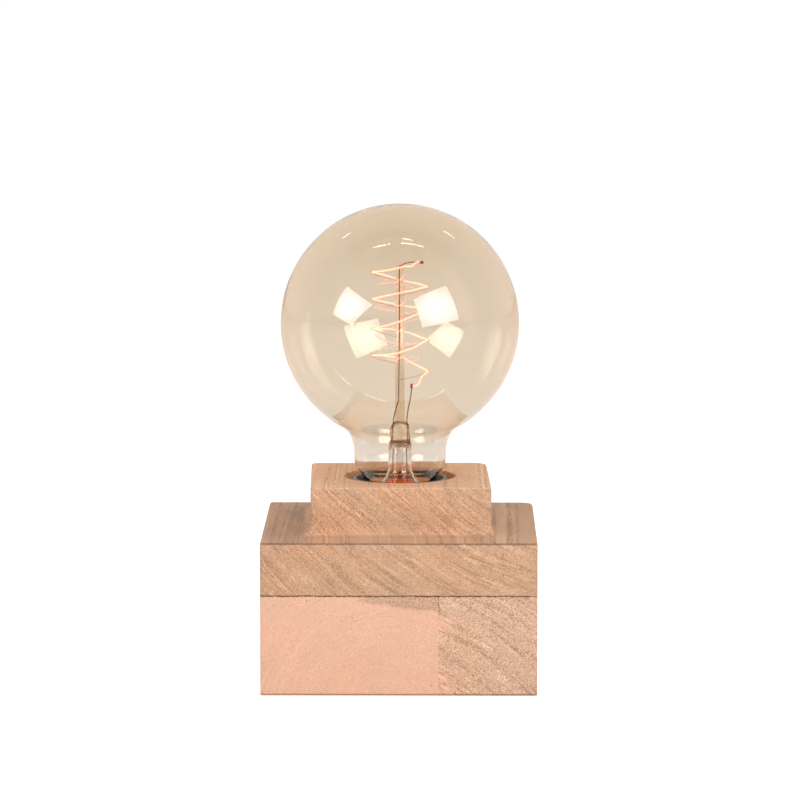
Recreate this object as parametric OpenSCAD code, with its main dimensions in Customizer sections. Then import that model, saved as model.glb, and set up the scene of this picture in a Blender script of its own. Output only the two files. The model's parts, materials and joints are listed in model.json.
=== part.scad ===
// Bare bulb table lamp: a stepped block of glued wood with a lampholder sunk in it, and a globe bulb
// with a spiral filament screwed into the lampholder.
// Millimetres. +Z is up, -Y is the front, and the origin is the middle of the underside.

/* [Wooden base] */
// Width and depth of the block
base_w = 108; // [104:1:130]
// Height of the lower layer above the top of the felt
lower_h = 38.5; // [38:0.5:50]
// Height of the upper layer's shoulder
shoulder_h = 21; // [20:0.5:30]
// Width and depth of the raised plinth
plinth_w = 71; // [66:1:80]
// Height of the plinth above the shoulder
plinth_h = 19; // [18:0.5:28]
// Radius of the vertical corners
corner_r = 2.5; // [2:0.5:5]
// Radius of the cove at the plinth's foot
cove_r = 4; // [2:0.5:6]
// Radius of the hole that the lampholder stands in
well_r = 22; // [21:0.5:24]
// Distance of the lower layer's glue joint from the middle, to the right
joint_x = 15.6; // [8:0.1:19]
// Thickness of the felt under the block
felt_t = 1; // [0.8:0.1:2]

/* [Cable entry] */
// Height of the cable hole's axis above the table
cable_z = 9; // [8.5:0.5:9]
// Radius of the bore of the cable bush
bush_bore_r = 3.75; // [3:0.25:4]
// Length of the bush's barrel inside the wood
bush_l = 13; // [8:1:16]

/* [Lampholder] */
// Outer radius of the metal sleeve
sleeve_r = 19.1; // [19:0.1:19.5]
// Height of the lampholder, from the collar's foot to the rim
holder_h = 54.8; // [54.5:0.1:56]
// Depth of the rim below the top of the plinth
rim_depth = 1; // [0.2:0.1:4]
// Width of the sleeve's rolled lip
lip_w = 1.6; // [1.2:0.1:2]

/* [Bulb] */
// Outer radius of the globe
globe_r = 47.5; // [40:0.5:62.5]
// Height of the globe's centre above the cap's rim
globe_rise = 63.4; // [63:0.1:80]
// Outer radius of the glass neck
neck_r = 18.4; // [17.5:0.1:20]
// Thickness of the bulb's glass
glass_t = 0.7; // [0.5:0.1:0.9]
// Radius of the foot of the glass support rod
rod_r = 1.9; // [1.6:0.1:2]

/* [Filament] */
// Half the width of the spiral, from the rod's axis to the hooks
spiral_r = 11; // [9:0.5:13]
// How far the spiral bows out in front of the rod and behind it
spiral_bow = 6; // [5:0.5:9]
// Drop of the spiral in one turn
spiral_pitch = 11.1; // [9:0.1:11.5]
// Half turns between the top of the spiral and its last hook
half_turns = 8; // [4:2:8]
// Radius of the filament
filament_r = 0.4; // [0.2:0.05:0.45]

/* [Hidden] */
$fn = 96;

// Clearance of a sliding fit, and what a cutting shape stands proud of what it cuts
fit = 0.02;
over = 1;

// Heights of the wooden base
glue_z = felt_t + lower_h;
shoulder_z = glue_z + shoulder_h;
top_z = shoulder_z + plinth_h;
edge_r = 1;
felt_inset = 4;
felt_corner_cut = 12;
felt_stand = 0.3;
felt_gap = 0.2;

// The well, its floor and the wiring recess under it
rim_z = top_z - rim_depth;
floor_z = rim_z - holder_h;
floor_t = 9;
recess_z = floor_z - floor_t;
recess_r = 20;
nipple_hole_r = 5.3;

// Cable bush
bush_r = 5;
bush_flange_r = 6.5;
bush_flange_t = 1.5;
bush_edge_r = 0.5;
bush_gap = 0.05;

// Threaded tube, nut, washer and grub screw that hold the lampholder down
nipple_r = 5;
nipple_bore_r = 3.5;
nipple_tail = 1.5;
washer_gap = 0.3;
collar_h = 7;
collar_r = 8;
washer_t = 1.2;
washer_r = 11;
nut_t = 4;
nut_af = 14;
grub_r = 1.5;
grub_stand = 0.6;
slot_w = 0.5;
slot_d = 0.6;

// Lampholder shells
sheet_t = 0.8;
dome_r = 8;
shelf_z = floor_z + collar_h;
seam_z = shelf_z + dome_r;
lap_h = 8;
lap_foot = 2.2;
lap_r = sleeve_r - sheet_t;
lap_gap = 0.1;
liner_t = 1.2;
mouth_h = 3.5;
mouth_bore_r = 14.6;
mouth_edge_r = 0.6;

// Contact block, its pocket and the wiring terminals under it
block_top = rim_z - 26.6;
block_foot_r = lap_r - sheet_t - lap_gap;
block_foot = block_top - 12;
pocket_r = 9.8;
pocket_d = 5.2;
pocket_z = block_top - pocket_d;
rivet_r = 1;
rivet_head_r = 1.5;
rivet_head_h = 0.4;
shell_rivet_y = 11.7;
tongue_rivet_x = -7.2;
tongue_w = 6;
tongue_t = 0.5;
tongue_heel_x = -9;
tongue_bend_x = -5.6;
tongue_crown_x = -1.9;
tongue_toe_x = 3.2;
tongue_nose = 1.2;
contact_gap = 0.15;
plate_t = 0.8;
plate_margin = 2.9;
screw_gap = 0.2;
screw_r = 1.5;
screw_l = 4;
screw_head_r = 2.5;
screw_head_h = 1.6;
tongue_screw_x = -12;
shell_screw_y = -7;

// Edison screw E27: 7 turns in 25.4 mm. Both threads are measured from the same height, so they mesh.
pitch = 25.4 / 7;
thread_rows = 6;
thread_cols = 32;
thread_wave = 0.45;
thread_gap = 0.3;
thread_fade = pitch / 2;

// Bulb cap
cap_rim_z = rim_z - 1.3;
cap_foot_z = cap_rim_z - 27;
cap_thread_z = cap_foot_z + 5.4;
cap_turns = 5;
cap_mean_r = 12.65;
cap_skirt_r = 13.3;
cap_sheet = 0.35;
cap_shoulder_r = 11.7;
insulator_r = 9.2;
insulator_t = 3;
insulator_edge = 1.7;
insulator_lip = 0.4;
contact_r = 4.8;
contact_h = 1.4;
contact_bulge_r = 13;
wire_bore_r = 0.6;
cap_foot_bend = 1;
cement_r = 12.8;
cement_bore_r = 8.5;
cement_ledge = 1.4;
cement_h = 3.2;

// Screw shell of the lampholder. Its thread starts below the cap's and ends half a turn before it.
shell_sheet = 0.4;
shell_mean_r = cap_mean_r + thread_gap;
shell_turns_above = 4.5;
shell_thread_z = block_top + 1.4;
shell_flange_r = 10.4;
shell_mouth_r = 14.2;
shell_mouth_h = 0.8;

// Glass envelope
globe_z = cap_rim_z + globe_rise;
neck_cove_r = 9;
cove_z = globe_z - sqrt(pow(globe_r + neck_cove_r, 2) - pow(neck_r + neck_cove_r, 2));
shoulder_r = 6;
globe_steps = 60;
cove_steps = 16;
shoulder_steps = 12;
neck_shoulder_z = cap_rim_z + 8.5;
neck_tilt = 42;
neck_foot_z = cap_rim_z - 1.8;

// Stem: a tube that flares out to the neck's foot, and is pressed flat at the top
stem_r = 4.65;
stem_wall = 0.8;
stem_top = cap_rim_z + 14.8;
flare_r = 6.5;
press_top = cap_rim_z + 24;
press_w = 7.8;
press_t = 4.4;
press_neck = 1.6;
press_edge_r = 2.5;
exhaust_r = 1.4;
exhaust_wall = 0.4;
exhaust_foot = cap_rim_z - 15;
rod_top = cap_rim_z + 87.2;
rod_tip_r = 1.5;
wire_r = 0.2;
lead_r = 0.3;
lead_x = 2.7;
lead_gap = 0.25;

// Filament and its supports
spiral_top = cap_rim_z + 88.8;
hook_rise = [0, 0.4, 0.2, 0.8, 2.6, 0, 1.1, 0.4, -0.4];
spiral_sag = [0.3, 0.4, -0.5, 1.2, 0.5, -0.8, 1.1, -1.4, 0];
rings_per_half = 12;
hook_drop = 3.4;
hook_elbow = [0.6, 0.35];
hook_gap = 0.14;
hook_grip = filament_r + wire_r + hook_gap;
pinch_r = 0.6;
pinch_l = 1.6;
top_clamp = [8.5, 0, cap_rim_z + 87.6];
low_clamp = [4.7, -1.3, cap_rim_z + 38.3];

// ---------------------------------------------------------------- functions

function unit(v) = v / norm(v);

// Smooth rise from 0 to 1
function ease(t) = t <= 0 ? 0 : t >= 1 ? 1 : t * t * (3 - 2 * t);

// Point at t along a curve that leaves a towards b and comes to c from b
function bend(a, b, c, t) = (1 - t) * (1 - t) * a + 2 * t * (1 - t) * b + t * t * c;

// Direction of a route at point i
function heading(route, i) =
  unit(route[min(i + 1, len(route) - 1)] - route[max(i - 1, 0)]);

// One ring of a tube, square to the route. side_ref is a direction that the route never takes.
function tube_ring(route, i, r, sides, side_ref) =
  let (along = heading(route, i), across = unit(cross(along, side_ref)), up = cross(across, along))
  [for (k = [0:sides - 1]) route[i] + r * (cos(360 * k / sides) * across + sin(360 * k / sides) * up)];

// The spiral's plan is a lens with its points at the hooks, left and right of the rod. s counts half
// turns from the top; even ones end at the right. It is wound by hand: hook_rise says how much higher
// than a steady spiral each hook sits, and spiral_sag how far each half turn hangs down.
function spiral_point(s) =
  let (
    half = floor(s),
    part = s - half,
    side = half % 2 == 0 ? 1 : -1,
    rise = hook_rise[half] * (1 - part) + hook_rise[min(half + 1, half_turns)] * part
  )
  [
    side * spiral_r * (1 - 2 * part),
    -side * spiral_bow * sin(180 * part),
    spiral_top - spiral_pitch * s / 2 + rise - spiral_sag[half] * sin(180 * part)
  ];

// From the upper clamp the filament joins the spiral in front of the rod, and after the last hook it
// drops to the lower clamp.
first_ring = 5;
filament_lead_in = [
  top_clamp,
  top_clamp + [-1.1, -0.6, 0.3],
  top_clamp + [-2.3, -1.9, -0.1],
  top_clamp + [-3.9, -3.6, -1.2]
];
last_hook = spiral_point(half_turns);
filament_lead_out = [
  last_hook + [-1.1, -0.9, -0.9],
  last_hook + [-2.2, -1.4, -1.9],
  last_hook + [-2.9, -1.7, -3.3],
  last_hook + [-3.5, -1.8, -4.7],
  last_hook + [-4.4, -1.7, -5.6],
  low_clamp
];
filament_route = concat(
  filament_lead_in,
  [for (k = [first_ring:half_turns * rings_per_half]) spiral_point(k / rings_per_half)],
  filament_lead_out
);

// Least distance between two points of a route that are at least so many rings apart along it
function least_gap(route, apart) =
  min([for (i = [0:len(route) - 1 - apart], j = [i + apart:len(route) - 1]) norm(route[i] - route[j])]);
filament_gap = least_gap(filament_route, rings_per_half) - 2 * filament_r;
echo(filament_least_gap_mm = filament_gap);

// ---------------------------------------------------------------- shared shapes

// A tube swept along a route, with another radius over its last rings
module tube(route, r, sides, side_ref, tip_r = undef, tip_rings = 0) {
  last = len(route) - 1;
  polyhedron(
    points = [for (i = [0:last])
      each tube_ring(route, i, i > last - tip_rings ? tip_r : r, sides, side_ref)],
    faces = concat(
      [[for (k = [0:sides - 1]) k]],
      [[for (k = [0:sides - 1]) (last + 1) * sides - 1 - k]],
      [for (i = [0:last - 1], k = [0:sides - 1], half = [0, 1])
        let (a = i * sides + k, b = i * sides + (k + 1) % sides)
        half == 0 ? [a, a + sides, b + sides] : [a, b + sides, b]]
    )
  );
}

// A ring between two radii and two heights
module ring(inner, outer, low, high) {
  rotate_extrude() translate([inner, low]) square([outer - inner, high - low]);
}

// Sweeps a profile round a square with rounded corners. The profile's x is measured from the corners'
// centres, and its y is height.
module around_square(half, r) {
  run = half - r;
  for (turn = [0:3]) rotate(90 * turn) {
    translate([run, 0, 0]) rotate([90, 0, 0]) linear_extrude(2 * run, center = true) children();
    translate([run, run, 0]) rotate_extrude(angle = 90) children();
  }
}

// A block on a rounded square between two heights, whose wall is the child profile
module square_block(half, r, low, high) {
  run = half - r;
  around_square(half, r) children();
  translate([-run, -run, low]) cube([2 * run, 2 * run, high - low]);
}

// Profile of a wall of thickness r between two heights, its outer edge rounded at the top (up = 1) or
// at the foot (up = -1)
module eased_wall(r, low, high, up) {
  end = up > 0 ? high : low;
  difference() {
    translate([0, low]) square([r, high - low]);
    translate([r - edge_r, end - up * edge_r]) scale([1, up]) difference() {
      square(edge_r + over);
      circle(edge_r);
    }
  }
}

// A pressed sheet-metal screw thread as one closed skin between z0 and z1. Its rows follow the helix,
// so that crests and roots lie on them, and it runs out into foot_r below and head_r above. foot and
// head are rings under and over it, each [outer r, outer z, inner r, inner z].
module thread_shell(z0, z1, mean_r, foot_r, head_r, sheet, foot, head) {
  row_h = pitch / thread_rows;
  first = floor((z0 - cap_thread_z) / row_h) - thread_rows;
  rows = ceil((z1 - cap_thread_z) / row_h) - first + 1;
  total = len(foot) + rows + len(head);
  function row_z(i, col) = cap_thread_z + (first + i) * row_h + col * pitch / thread_cols;
  function wall_r(z, col) =
    let (
      crest = mean_r + thread_wave * cos(360 * ((z - cap_thread_z) / pitch - col / thread_cols)),
      rise = ease((z - z0) / thread_fade),
      fall = ease((z1 - z) / thread_fade)
    )
    rise < 1 ? foot_r + (crest - foot_r) * rise : head_r + (crest - head_r) * fall;
  // Rows past the ends of the thread are drawn back to its first or last one
  function clamped(i, col) =
    let (
      low = floor((z0 - row_z(0, col)) / row_h + 0.001),
      high = ceil((z1 - row_z(0, col)) / row_h - 0.001)
    )
    max(low, min(high, i));
  function index(skin, row, col) =
    let (wraps = col == thread_cols, c = wraps ? 0 : col, i = row - len(foot))
    (skin * thread_cols + c) * total
    + (i < 0 || i >= rows ? row : len(foot) + clamped(wraps ? clamped(i, col) + thread_rows : i, c));
  function ring_point(r, z, col) =
    [r * cos(360 * col / thread_cols), r * sin(360 * col / thread_cols), z];
  function wall_point(skin, i, col) =
    let (z = max(z0, min(z1, row_z(i, col))))
    ring_point(wall_r(z, col) - skin * sheet, z, col);
  points = [
    for (skin = [0, 1], col = [0:thread_cols - 1]) each concat(
      [for (p = foot) ring_point(p[2 * skin], p[2 * skin + 1], col)],
      [for (i = [0:rows - 1]) wall_point(skin, i, col)],
      [for (p = head) ring_point(p[2 * skin], p[2 * skin + 1], col)]
    )
  ];
  function split(a, b, c, d) = [[a, b, c], [a, c, d]];
  function quad(skin, row, col) =
    let (
      a = index(skin, row, col), b = index(skin, row + 1, col),
      c = index(skin, row + 1, col + 1), d = index(skin, row, col + 1)
    )
    skin == 0 ? split(a, b, c, d) : split(d, c, b, a);
  function rim(row, col) = split(
    index(0, row, col), index(0, row, col + 1), index(1, row, col + 1), index(1, row, col)
  );
  function turned(f) = [f[2], f[1], f[0]];
  faces = concat(
    [for (skin = [0, 1], row = [0:total - 2], col = [0:thread_cols - 1], f = quad(skin, row, col)) f],
    [for (col = [0:thread_cols - 1], f = rim(0, col)) f],
    [for (col = [0:thread_cols - 1], f = rim(total - 1, col)) turned(f)]
  );
  polyhedron(
    points = points,
    faces = [for (f = faces) if (f[0] != f[1] && f[1] != f[2] && f[2] != f[0]) f]
  );
}

// ---------------------------------------------------------------- wooden base

// Upper layer: a shoulder all round and a plinth with a cove at its foot, bored for the lampholder
module top_block() {
  color("#d0a27f") difference() {
    union() {
      square_block(base_w / 2, corner_r, glue_z, shoulder_z)
        eased_wall(corner_r, glue_z, shoulder_z, 1);
      square_block(plinth_w / 2, corner_r, shoulder_z - over, top_z)
        eased_wall(corner_r, shoulder_z - over, top_z, 1);
      around_square(plinth_w / 2, corner_r) cove_profile();
    }
    well();
  }
}

module cove_profile() {
  difference() {
    translate([0, shoulder_z - over]) square([corner_r + cove_r, cove_r + over]);
    translate([corner_r + cove_r, shoulder_z + cove_r]) circle(cove_r);
  }
}

// The lampholder's well, with its mouth eased
module well() {
  translate([0, 0, floor_z]) cylinder(h = top_z - floor_z + over, r = well_r);
  rotate_extrude() difference() {
    translate([well_r - over, top_z - edge_r]) square([edge_r + over, edge_r + over]);
    translate([well_r + edge_r, top_z - edge_r]) circle(edge_r);
  }
}

// Lower layer before it is cut at its glue joint. Its underside has a rebate for the felt, which stands
// a little proud of the wood.
module lower_layer() {
  difference() {
    square_block(base_w / 2, corner_r, felt_stand, glue_z)
      eased_wall(corner_r, felt_stand, glue_z, -1);
    linear_extrude(felt_t) felt_outline(felt_gap);
    translate([0, 0, floor_z]) cylinder(h = base_w, r = well_r);
    translate([0, 0, recess_z - over]) cylinder(h = floor_t + 2 * over, r = nipple_hole_r);
    cylinder(h = recess_z, r = recess_r);
    translate([0, 0, cable_z]) rotate([-90, 0, 0]) {
      cylinder(h = base_w, r = bush_r + bush_gap);
      translate([0, 0, base_w / 2 - bush_flange_t - bush_gap])
        cylinder(h = base_w, r = bush_flange_r + bush_gap);
    }
  }
}

// Slice of the lower layer between two values of x
module lower_slice(x0, x1) {
  intersection() {
    lower_layer();
    translate([x0, -base_w, 0]) cube([x1 - x0, 2 * base_w, top_z]);
  }
}

module lower_block_left() {
  color("#eebd9d") lower_slice(-base_w, joint_x);
}

module lower_block_right() {
  color("#dcb194") lower_slice(joint_x, base_w);
}

// Square with its corners cut off, larger all round by a distance
module felt_outline(extra) {
  side = base_w - 2 * felt_inset + 2 * extra;
  diagonal = (base_w - 2 * felt_inset) * sqrt(2) - felt_corner_cut + 2 * extra;
  intersection() {
    square(side, center = true);
    rotate(45) square(diagonal, center = true);
  }
}

module felt_pad() {
  color("#4a4038") linear_extrude(felt_t) felt_outline(0);
}

// Plastic bush in the cable hole, its flange let in flush with the back
module cable_bush() {
  color("#26221f") translate([0, base_w / 2, cable_z]) rotate([-90, 0, 0]) rotate_extrude() {
    translate([bush_bore_r, -bush_flange_t - bush_l])
      square([bush_r - bush_bore_r, bush_l + bush_flange_t]);
    difference() {
      translate([bush_bore_r, -bush_flange_t]) square([bush_flange_r - bush_bore_r, bush_flange_t]);
      translate([bush_flange_r - bush_edge_r, -bush_edge_r]) difference() {
        square(over);
        circle(bush_edge_r);
      }
    }
  }
}

// ---------------------------------------------------------------- fixing

// Threaded tube through the well's floor, up into the lampholder's collar
module fixing_nipple() {
  color("#c9ccd0")
    ring(nipple_bore_r, nipple_r, recess_z - washer_t - nut_t - nipple_tail, shelf_z - over);
}

module nipple_nut() {
  color("#c9ccd0") translate([0, 0, recess_z - washer_t - nut_t]) difference() {
    cylinder(h = nut_t, r = nut_af / 2 / cos(30), $fn = 6);
    translate([0, 0, -over]) cylinder(h = nut_t + 2 * over, r = nipple_r + fit);
  }
}

module nut_washer() {
  color("#c9ccd0") ring(nipple_r + washer_gap, washer_r, recess_z - washer_t, recess_z);
}

// Grub screw in the collar, which locks the nipple
module collar_set_screw() {
  color("#8d9095") translate([0, 0, floor_z + collar_h / 2]) rotate([0, 90, 0]) difference() {
    translate([0, 0, nipple_r + fit]) cylinder(h = collar_r + grub_stand - nipple_r, r = grub_r);
    translate([-grub_r - over, -slot_w / 2, collar_r + grub_stand - slot_d])
      cube([2 * (grub_r + over), slot_w, over + slot_d]);
  }
}

// ---------------------------------------------------------------- lampholder

// Profile of the dome, drawn in by a distance from the outside
module dome_profile(inset) {
  wide = sleeve_r - dome_r;
  translate([0, shelf_z + inset]) square([wide, dome_r - inset]);
  intersection() {
    translate([wide, seam_z]) circle(dome_r - inset);
    translate([wide, shelf_z]) square(dome_r);
  }
}

// Lower shell: collar for the nipple, a rounded dome, and a rim that laps into the sleeve
module holder_dome() {
  color("#cfd1d6") difference() {
    rotate_extrude() difference() {
      union() {
        difference() {
          dome_profile(0);
          dome_profile(sheet_t);
        }
        translate([0, floor_z]) square([collar_r, collar_h + sheet_t]);
        translate([lap_r - sheet_t, seam_z - lap_foot]) square([sheet_t, lap_foot]);
        translate([lap_r - sheet_t, seam_z - over]) square([sheet_t - fit, lap_h + over]);
      }
      translate([0, floor_z - over]) square([nipple_r + fit, holder_h]);
    }
    translate([0, 0, floor_z + collar_h / 2]) rotate([0, 90, 0])
      cylinder(h = collar_r + over, r = grub_r + fit);
  }
}

// Upper shell: a plain sleeve whose rim is rolled inwards
module holder_sleeve() {
  color("#cfd1d6") rotate_extrude() {
    translate([lap_r, seam_z]) square([sheet_t, rim_z - sheet_t - seam_z]);
    translate([sleeve_r - lip_w, rim_z - sheet_t]) square([lip_w - sheet_t, sheet_t]);
    intersection() {
      translate([lap_r, rim_z - sheet_t]) circle(sheet_t);
      translate([lap_r, rim_z - sheet_t]) square(sheet_t);
    }
  }
}

// Black liner between the sleeve and the screw shell. It stands on the contact block, and the sleeve's
// lip holds it down.
module insulating_sleeve() {
  outer = lap_r - lap_gap;
  face = sleeve_r - lip_w - lap_gap;
  color("#1c1a19") rotate_extrude() {
    translate([outer - liner_t, block_top]) square([liner_t, rim_z - sheet_t - block_top]);
    difference() {
      translate([mouth_bore_r, rim_z - mouth_h]) square([face - mouth_bore_r, mouth_h]);
      translate([mouth_bore_r + mouth_edge_r, rim_z - mouth_edge_r]) rotate(90) difference() {
        square(over);
        circle(mouth_edge_r);
      }
    }
  }
}

// Threaded brass shell, riveted to the contact block by its flange
module holder_screw_shell() {
  crest_r = shell_mean_r + thread_wave + shell_sheet;
  head_z = cap_thread_z + shell_turns_above * pitch;
  color("#c8a04a") thread_shell(
    shell_thread_z, head_z, shell_mean_r + shell_sheet, crest_r, crest_r, shell_sheet,
    foot = [
      [shell_flange_r, block_top, shell_flange_r, block_top + shell_sheet],
      [crest_r - shell_sheet / 2, block_top, crest_r - shell_sheet, block_top + shell_sheet]
    ],
    head = [[shell_mouth_r, head_z + shell_mouth_h, shell_mouth_r - shell_sheet, head_z + shell_mouth_h]]
  );
}

// Where the rivets and terminal screws pass through the contact block
rivet_places = [[tongue_rivet_x, 0], [0, shell_rivet_y], [0, -shell_rivet_y]];
screw_places = [[tongue_screw_x, 0], [0, shell_screw_y]];

// Moulded block that carries the contacts, standing on the dome's rim
module contact_block() {
  color("#e9e6df") difference() {
    union() {
      ring(0, block_foot_r, block_foot, block_top);
      ring(0, lap_r - lap_gap, seam_z + lap_h, block_top);
    }
    translate([0, 0, pocket_z]) cylinder(h = pocket_d + over, r = pocket_r);
    for (p = rivet_places)
      translate([p.x, p.y, block_foot - over]) cylinder(h = base_w, r = rivet_r + fit);
    for (p = screw_places)
      translate([p.x, p.y, block_foot - over]) cylinder(h = screw_l + over, r = screw_r + screw_gap);
  }
}

// Springy tongue that presses on the bulb's foot: flat on the pocket's floor, bent up and bent down again
module centre_contact() {
  crown_z = cap_foot_z - contact_gap - tongue_t;
  under = [
    [tongue_heel_x, pocket_z], [tongue_bend_x, pocket_z], [tongue_crown_x, crown_z],
    [tongue_toe_x, crown_z], [tongue_toe_x + tongue_nose, crown_z - tongue_t]
  ];
  above = [for (i = [len(under) - 1:-1:0]) under[i] + [0, tongue_t]];
  color("#d8b25a") difference() {
    rotate([90, 0, 0]) linear_extrude(tongue_w, center = true) polygon(concat(under, above));
    translate([tongue_rivet_x, 0, 0]) cylinder(h = base_w, r = rivet_r + fit);
  }
}

// A rivet with a flat head at each end
module rivet(place, top) {
  foot = block_foot - plate_t;
  translate([place.x, place.y, foot - rivet_head_h]) {
    cylinder(h = rivet_head_h, r = rivet_head_r);
    cylinder(h = top - foot + 2 * rivet_head_h, r = rivet_r);
    translate([0, 0, top - foot + rivet_head_h]) cylinder(h = rivet_head_h, r = rivet_head_r);
  }
}

module contact_rivets() {
  color("#d8b25a") {
    rivet(rivet_places[0], pocket_z + tongue_t);
    rivet(rivet_places[1], block_top + shell_sheet);
    rivet(rivet_places[2], block_top + shell_sheet);
  }
}

// A terminal plate round a rivet and a screw, drilled for both
module terminal_plate(rivet_at, screw_at) {
  low = [min(rivet_at.x, screw_at.x), min(rivet_at.y, screw_at.y)] - [plate_margin, plate_margin];
  high = [max(rivet_at.x, screw_at.x), max(rivet_at.y, screw_at.y)] + [plate_margin, plate_margin];
  difference() {
    translate([low.x, low.y, block_foot - plate_t]) cube([high.x - low.x, high.y - low.y, plate_t]);
    translate([rivet_at.x, rivet_at.y, 0]) cylinder(h = base_w, r = rivet_r + fit);
    translate([screw_at.x, screw_at.y, 0]) cylinder(h = base_w, r = screw_r + fit);
  }
}

// One plate for each contact, and a round one under the screw shell's second rivet
module terminal_plates() {
  color("#c8a04a") {
    terminal_plate(rivet_places[0], screw_places[0]);
    terminal_plate(rivet_places[2], screw_places[1]);
    translate([0, shell_rivet_y, 0])
      ring(rivet_r + fit, plate_margin, block_foot - plate_t, block_foot);
  }
}

module terminal_screws() {
  color("#b9bcc0") for (p = screw_places) translate([p.x, p.y, block_foot - plate_t]) {
    cylinder(h = screw_l, r = screw_r);
    translate([0, 0, -screw_head_h]) difference() {
      cylinder(h = screw_head_h, r = screw_head_r);
      translate([-screw_head_r - over, -slot_w / 2, -over])
        cube([2 * (screw_head_r + over), slot_w, slot_d + over]);
    }
  }
}

// ---------------------------------------------------------------- bulb

// Tinned button at the foot of the cap, its face bulging
module cap_contact() {
  color("#b8bbbe") rotate_extrude() intersection() {
    translate([0, cap_foot_z]) square([contact_r, contact_h]);
    translate([0, cap_foot_z + contact_bulge_r]) circle(contact_bulge_r);
  }
}

// Black glass between the button and the cap, with a bore for the lead wire
module cap_insulator() {
  low = cap_foot_z + contact_h;
  color("#171615") rotate_extrude() polygon([
    [wire_bore_r, low], [contact_r + insulator_lip, low], [insulator_r, low + insulator_edge],
    [insulator_r, low + insulator_t], [wire_bore_r, low + insulator_t]
  ]);
}

// Threaded metal cap: a plain skirt, five turns of thread, and a foot drawn in round the insulator
module cap_shell() {
  foot_z = cap_foot_z + contact_h + insulator_edge;
  bend_z = foot_z + cap_foot_bend;
  root_r = cap_mean_r - thread_wave;
  head_z = cap_thread_z + cap_turns * pitch;
  color("#d9c58d") thread_shell(
    cap_thread_z, head_z, cap_mean_r, root_r, cap_skirt_r, cap_sheet,
    foot = [
      [insulator_r + fit + cap_sheet, foot_z, insulator_r + fit, foot_z],
      [cap_shoulder_r, bend_z, cap_shoulder_r - cap_sheet, bend_z + cap_sheet]
    ],
    head = [[cap_skirt_r, cap_rim_z, cap_skirt_r - cap_sheet, cap_rim_z]]
  );
}

// Points of an arc round a centre, from one angle to another
function arc(centre, r, from, to, steps) =
  [for (i = [0:steps]) let (a = from + (to - from) * i / steps) centre + r * [cos(a), sin(a)]];

// Glass profile from the axis out to the wall, drawn in by a distance: globe, cove, neck, shoulder, and
// a cone down to the foot. The cove touches the globe and the neck.
module glass_profile(inset) {
  cove_x = neck_r + neck_cove_r;
  meet = atan2(cove_z - globe_z, cove_x);
  globe = arc([0, globe_z], globe_r - inset, 90, meet, globe_steps);
  cove = arc([cove_x, cove_z], neck_cove_r + inset, 180 + meet, 180, cove_steps);
  shoulder = arc([neck_r - shoulder_r, neck_shoulder_z], shoulder_r - inset, 0, -neck_tilt, shoulder_steps);
  foot = shoulder[shoulder_steps] - (shoulder[shoulder_steps].y - neck_foot_z) * [tan(neck_tilt), 1];
  cove_on = [for (i = [1:cove_steps]) cove[i]];
  polygon(concat([[0, neck_foot_z]], globe, cove_on, shoulder, [foot]));
}

module glass_envelope() {
  color("#e8c98f", 0.35) rotate_extrude() difference() {
    glass_profile(0);
    glass_profile(glass_t);
  }
}

// Cement that holds the glass in the cap: the space between them, and a ledge under the glass
module cap_cement() {
  color("#a8683f") rotate_extrude() difference() {
    translate([cement_bore_r, neck_foot_z - cement_ledge]) square([cement_r - cement_bore_r, cement_h]);
    glass_profile(-fit);
  }
}

// Half section of the stem from the axis out to its wall, drawn in by a distance
module stem_profile(inset) {
  flare_z = neck_foot_z + stem_wall + flare_r;
  translate([0, neck_foot_z]) square([stem_r - inset, stem_top - neck_foot_z]);
  difference() {
    translate([0, neck_foot_z]) square([stem_r + flare_r, flare_z - neck_foot_z]);
    translate([stem_r + flare_r, flare_z]) circle(flare_r + inset);
  }
}

// Glass tube that flares out below to the neck's foot, and ends in a flat press round the wires
module stem() {
  color("#e9eef0", 0.5) {
    rotate_extrude() intersection() {
      glass_profile(glass_t);
      difference() {
        union() {
          stem_profile(0);
          polygon([
            [0, stem_top - over], [stem_r, stem_top - over], [stem_r, stem_top],
            [press_w / 2, stem_top + press_neck], [0, stem_top + press_neck]
          ]);
        }
        stem_profile(stem_wall);
      }
    }
    press();
  }
}

// The press: a slab with rounded edges and rounded upper corners
module press() {
  low = stem_top + press_neck / 2;
  intersection() {
    translate([0, 0, low]) linear_extrude(press_top - low) stadium(press_w, press_t);
    rotate([90, 0, 0]) linear_extrude(press_w, center = true) {
      translate([-press_w / 2, low]) square([press_w, press_top - press_edge_r - low]);
      translate([0, press_top - press_edge_r]) stadium(press_w, 2 * press_edge_r);
    }
  }
}

// A strip with round ends
module stadium(length, width) {
  reach = (length - width) / 2;
  square([2 * reach, width], center = true);
  for (side = [-1, 1]) translate([side * reach, 0]) circle(width / 2);
}

// Thin tube through which the bulb was pumped, closed at its foot
module exhaust_tube() {
  tip = 2 * exhaust_r;
  color("#e9eef0", 0.5) rotate_extrude() difference() {
    polygon([
      [0, exhaust_foot], [exhaust_r, exhaust_foot + tip], [exhaust_r, stem_top], [0, stem_top]
    ]);
    translate([0, exhaust_foot + tip]) square([exhaust_r - exhaust_wall, base_w]);
  }
}

// Solid glass rod that carries the hooks, rounded at the top
module support_rod() {
  color("#eadcc4", 0.6) {
    translate([0, 0, press_top]) cylinder(h = rod_top - rod_tip_r - press_top, r1 = rod_r, r2 = rod_tip_r);
    translate([0, 0, rod_top - rod_tip_r]) sphere(rod_tip_r);
  }
}

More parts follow.
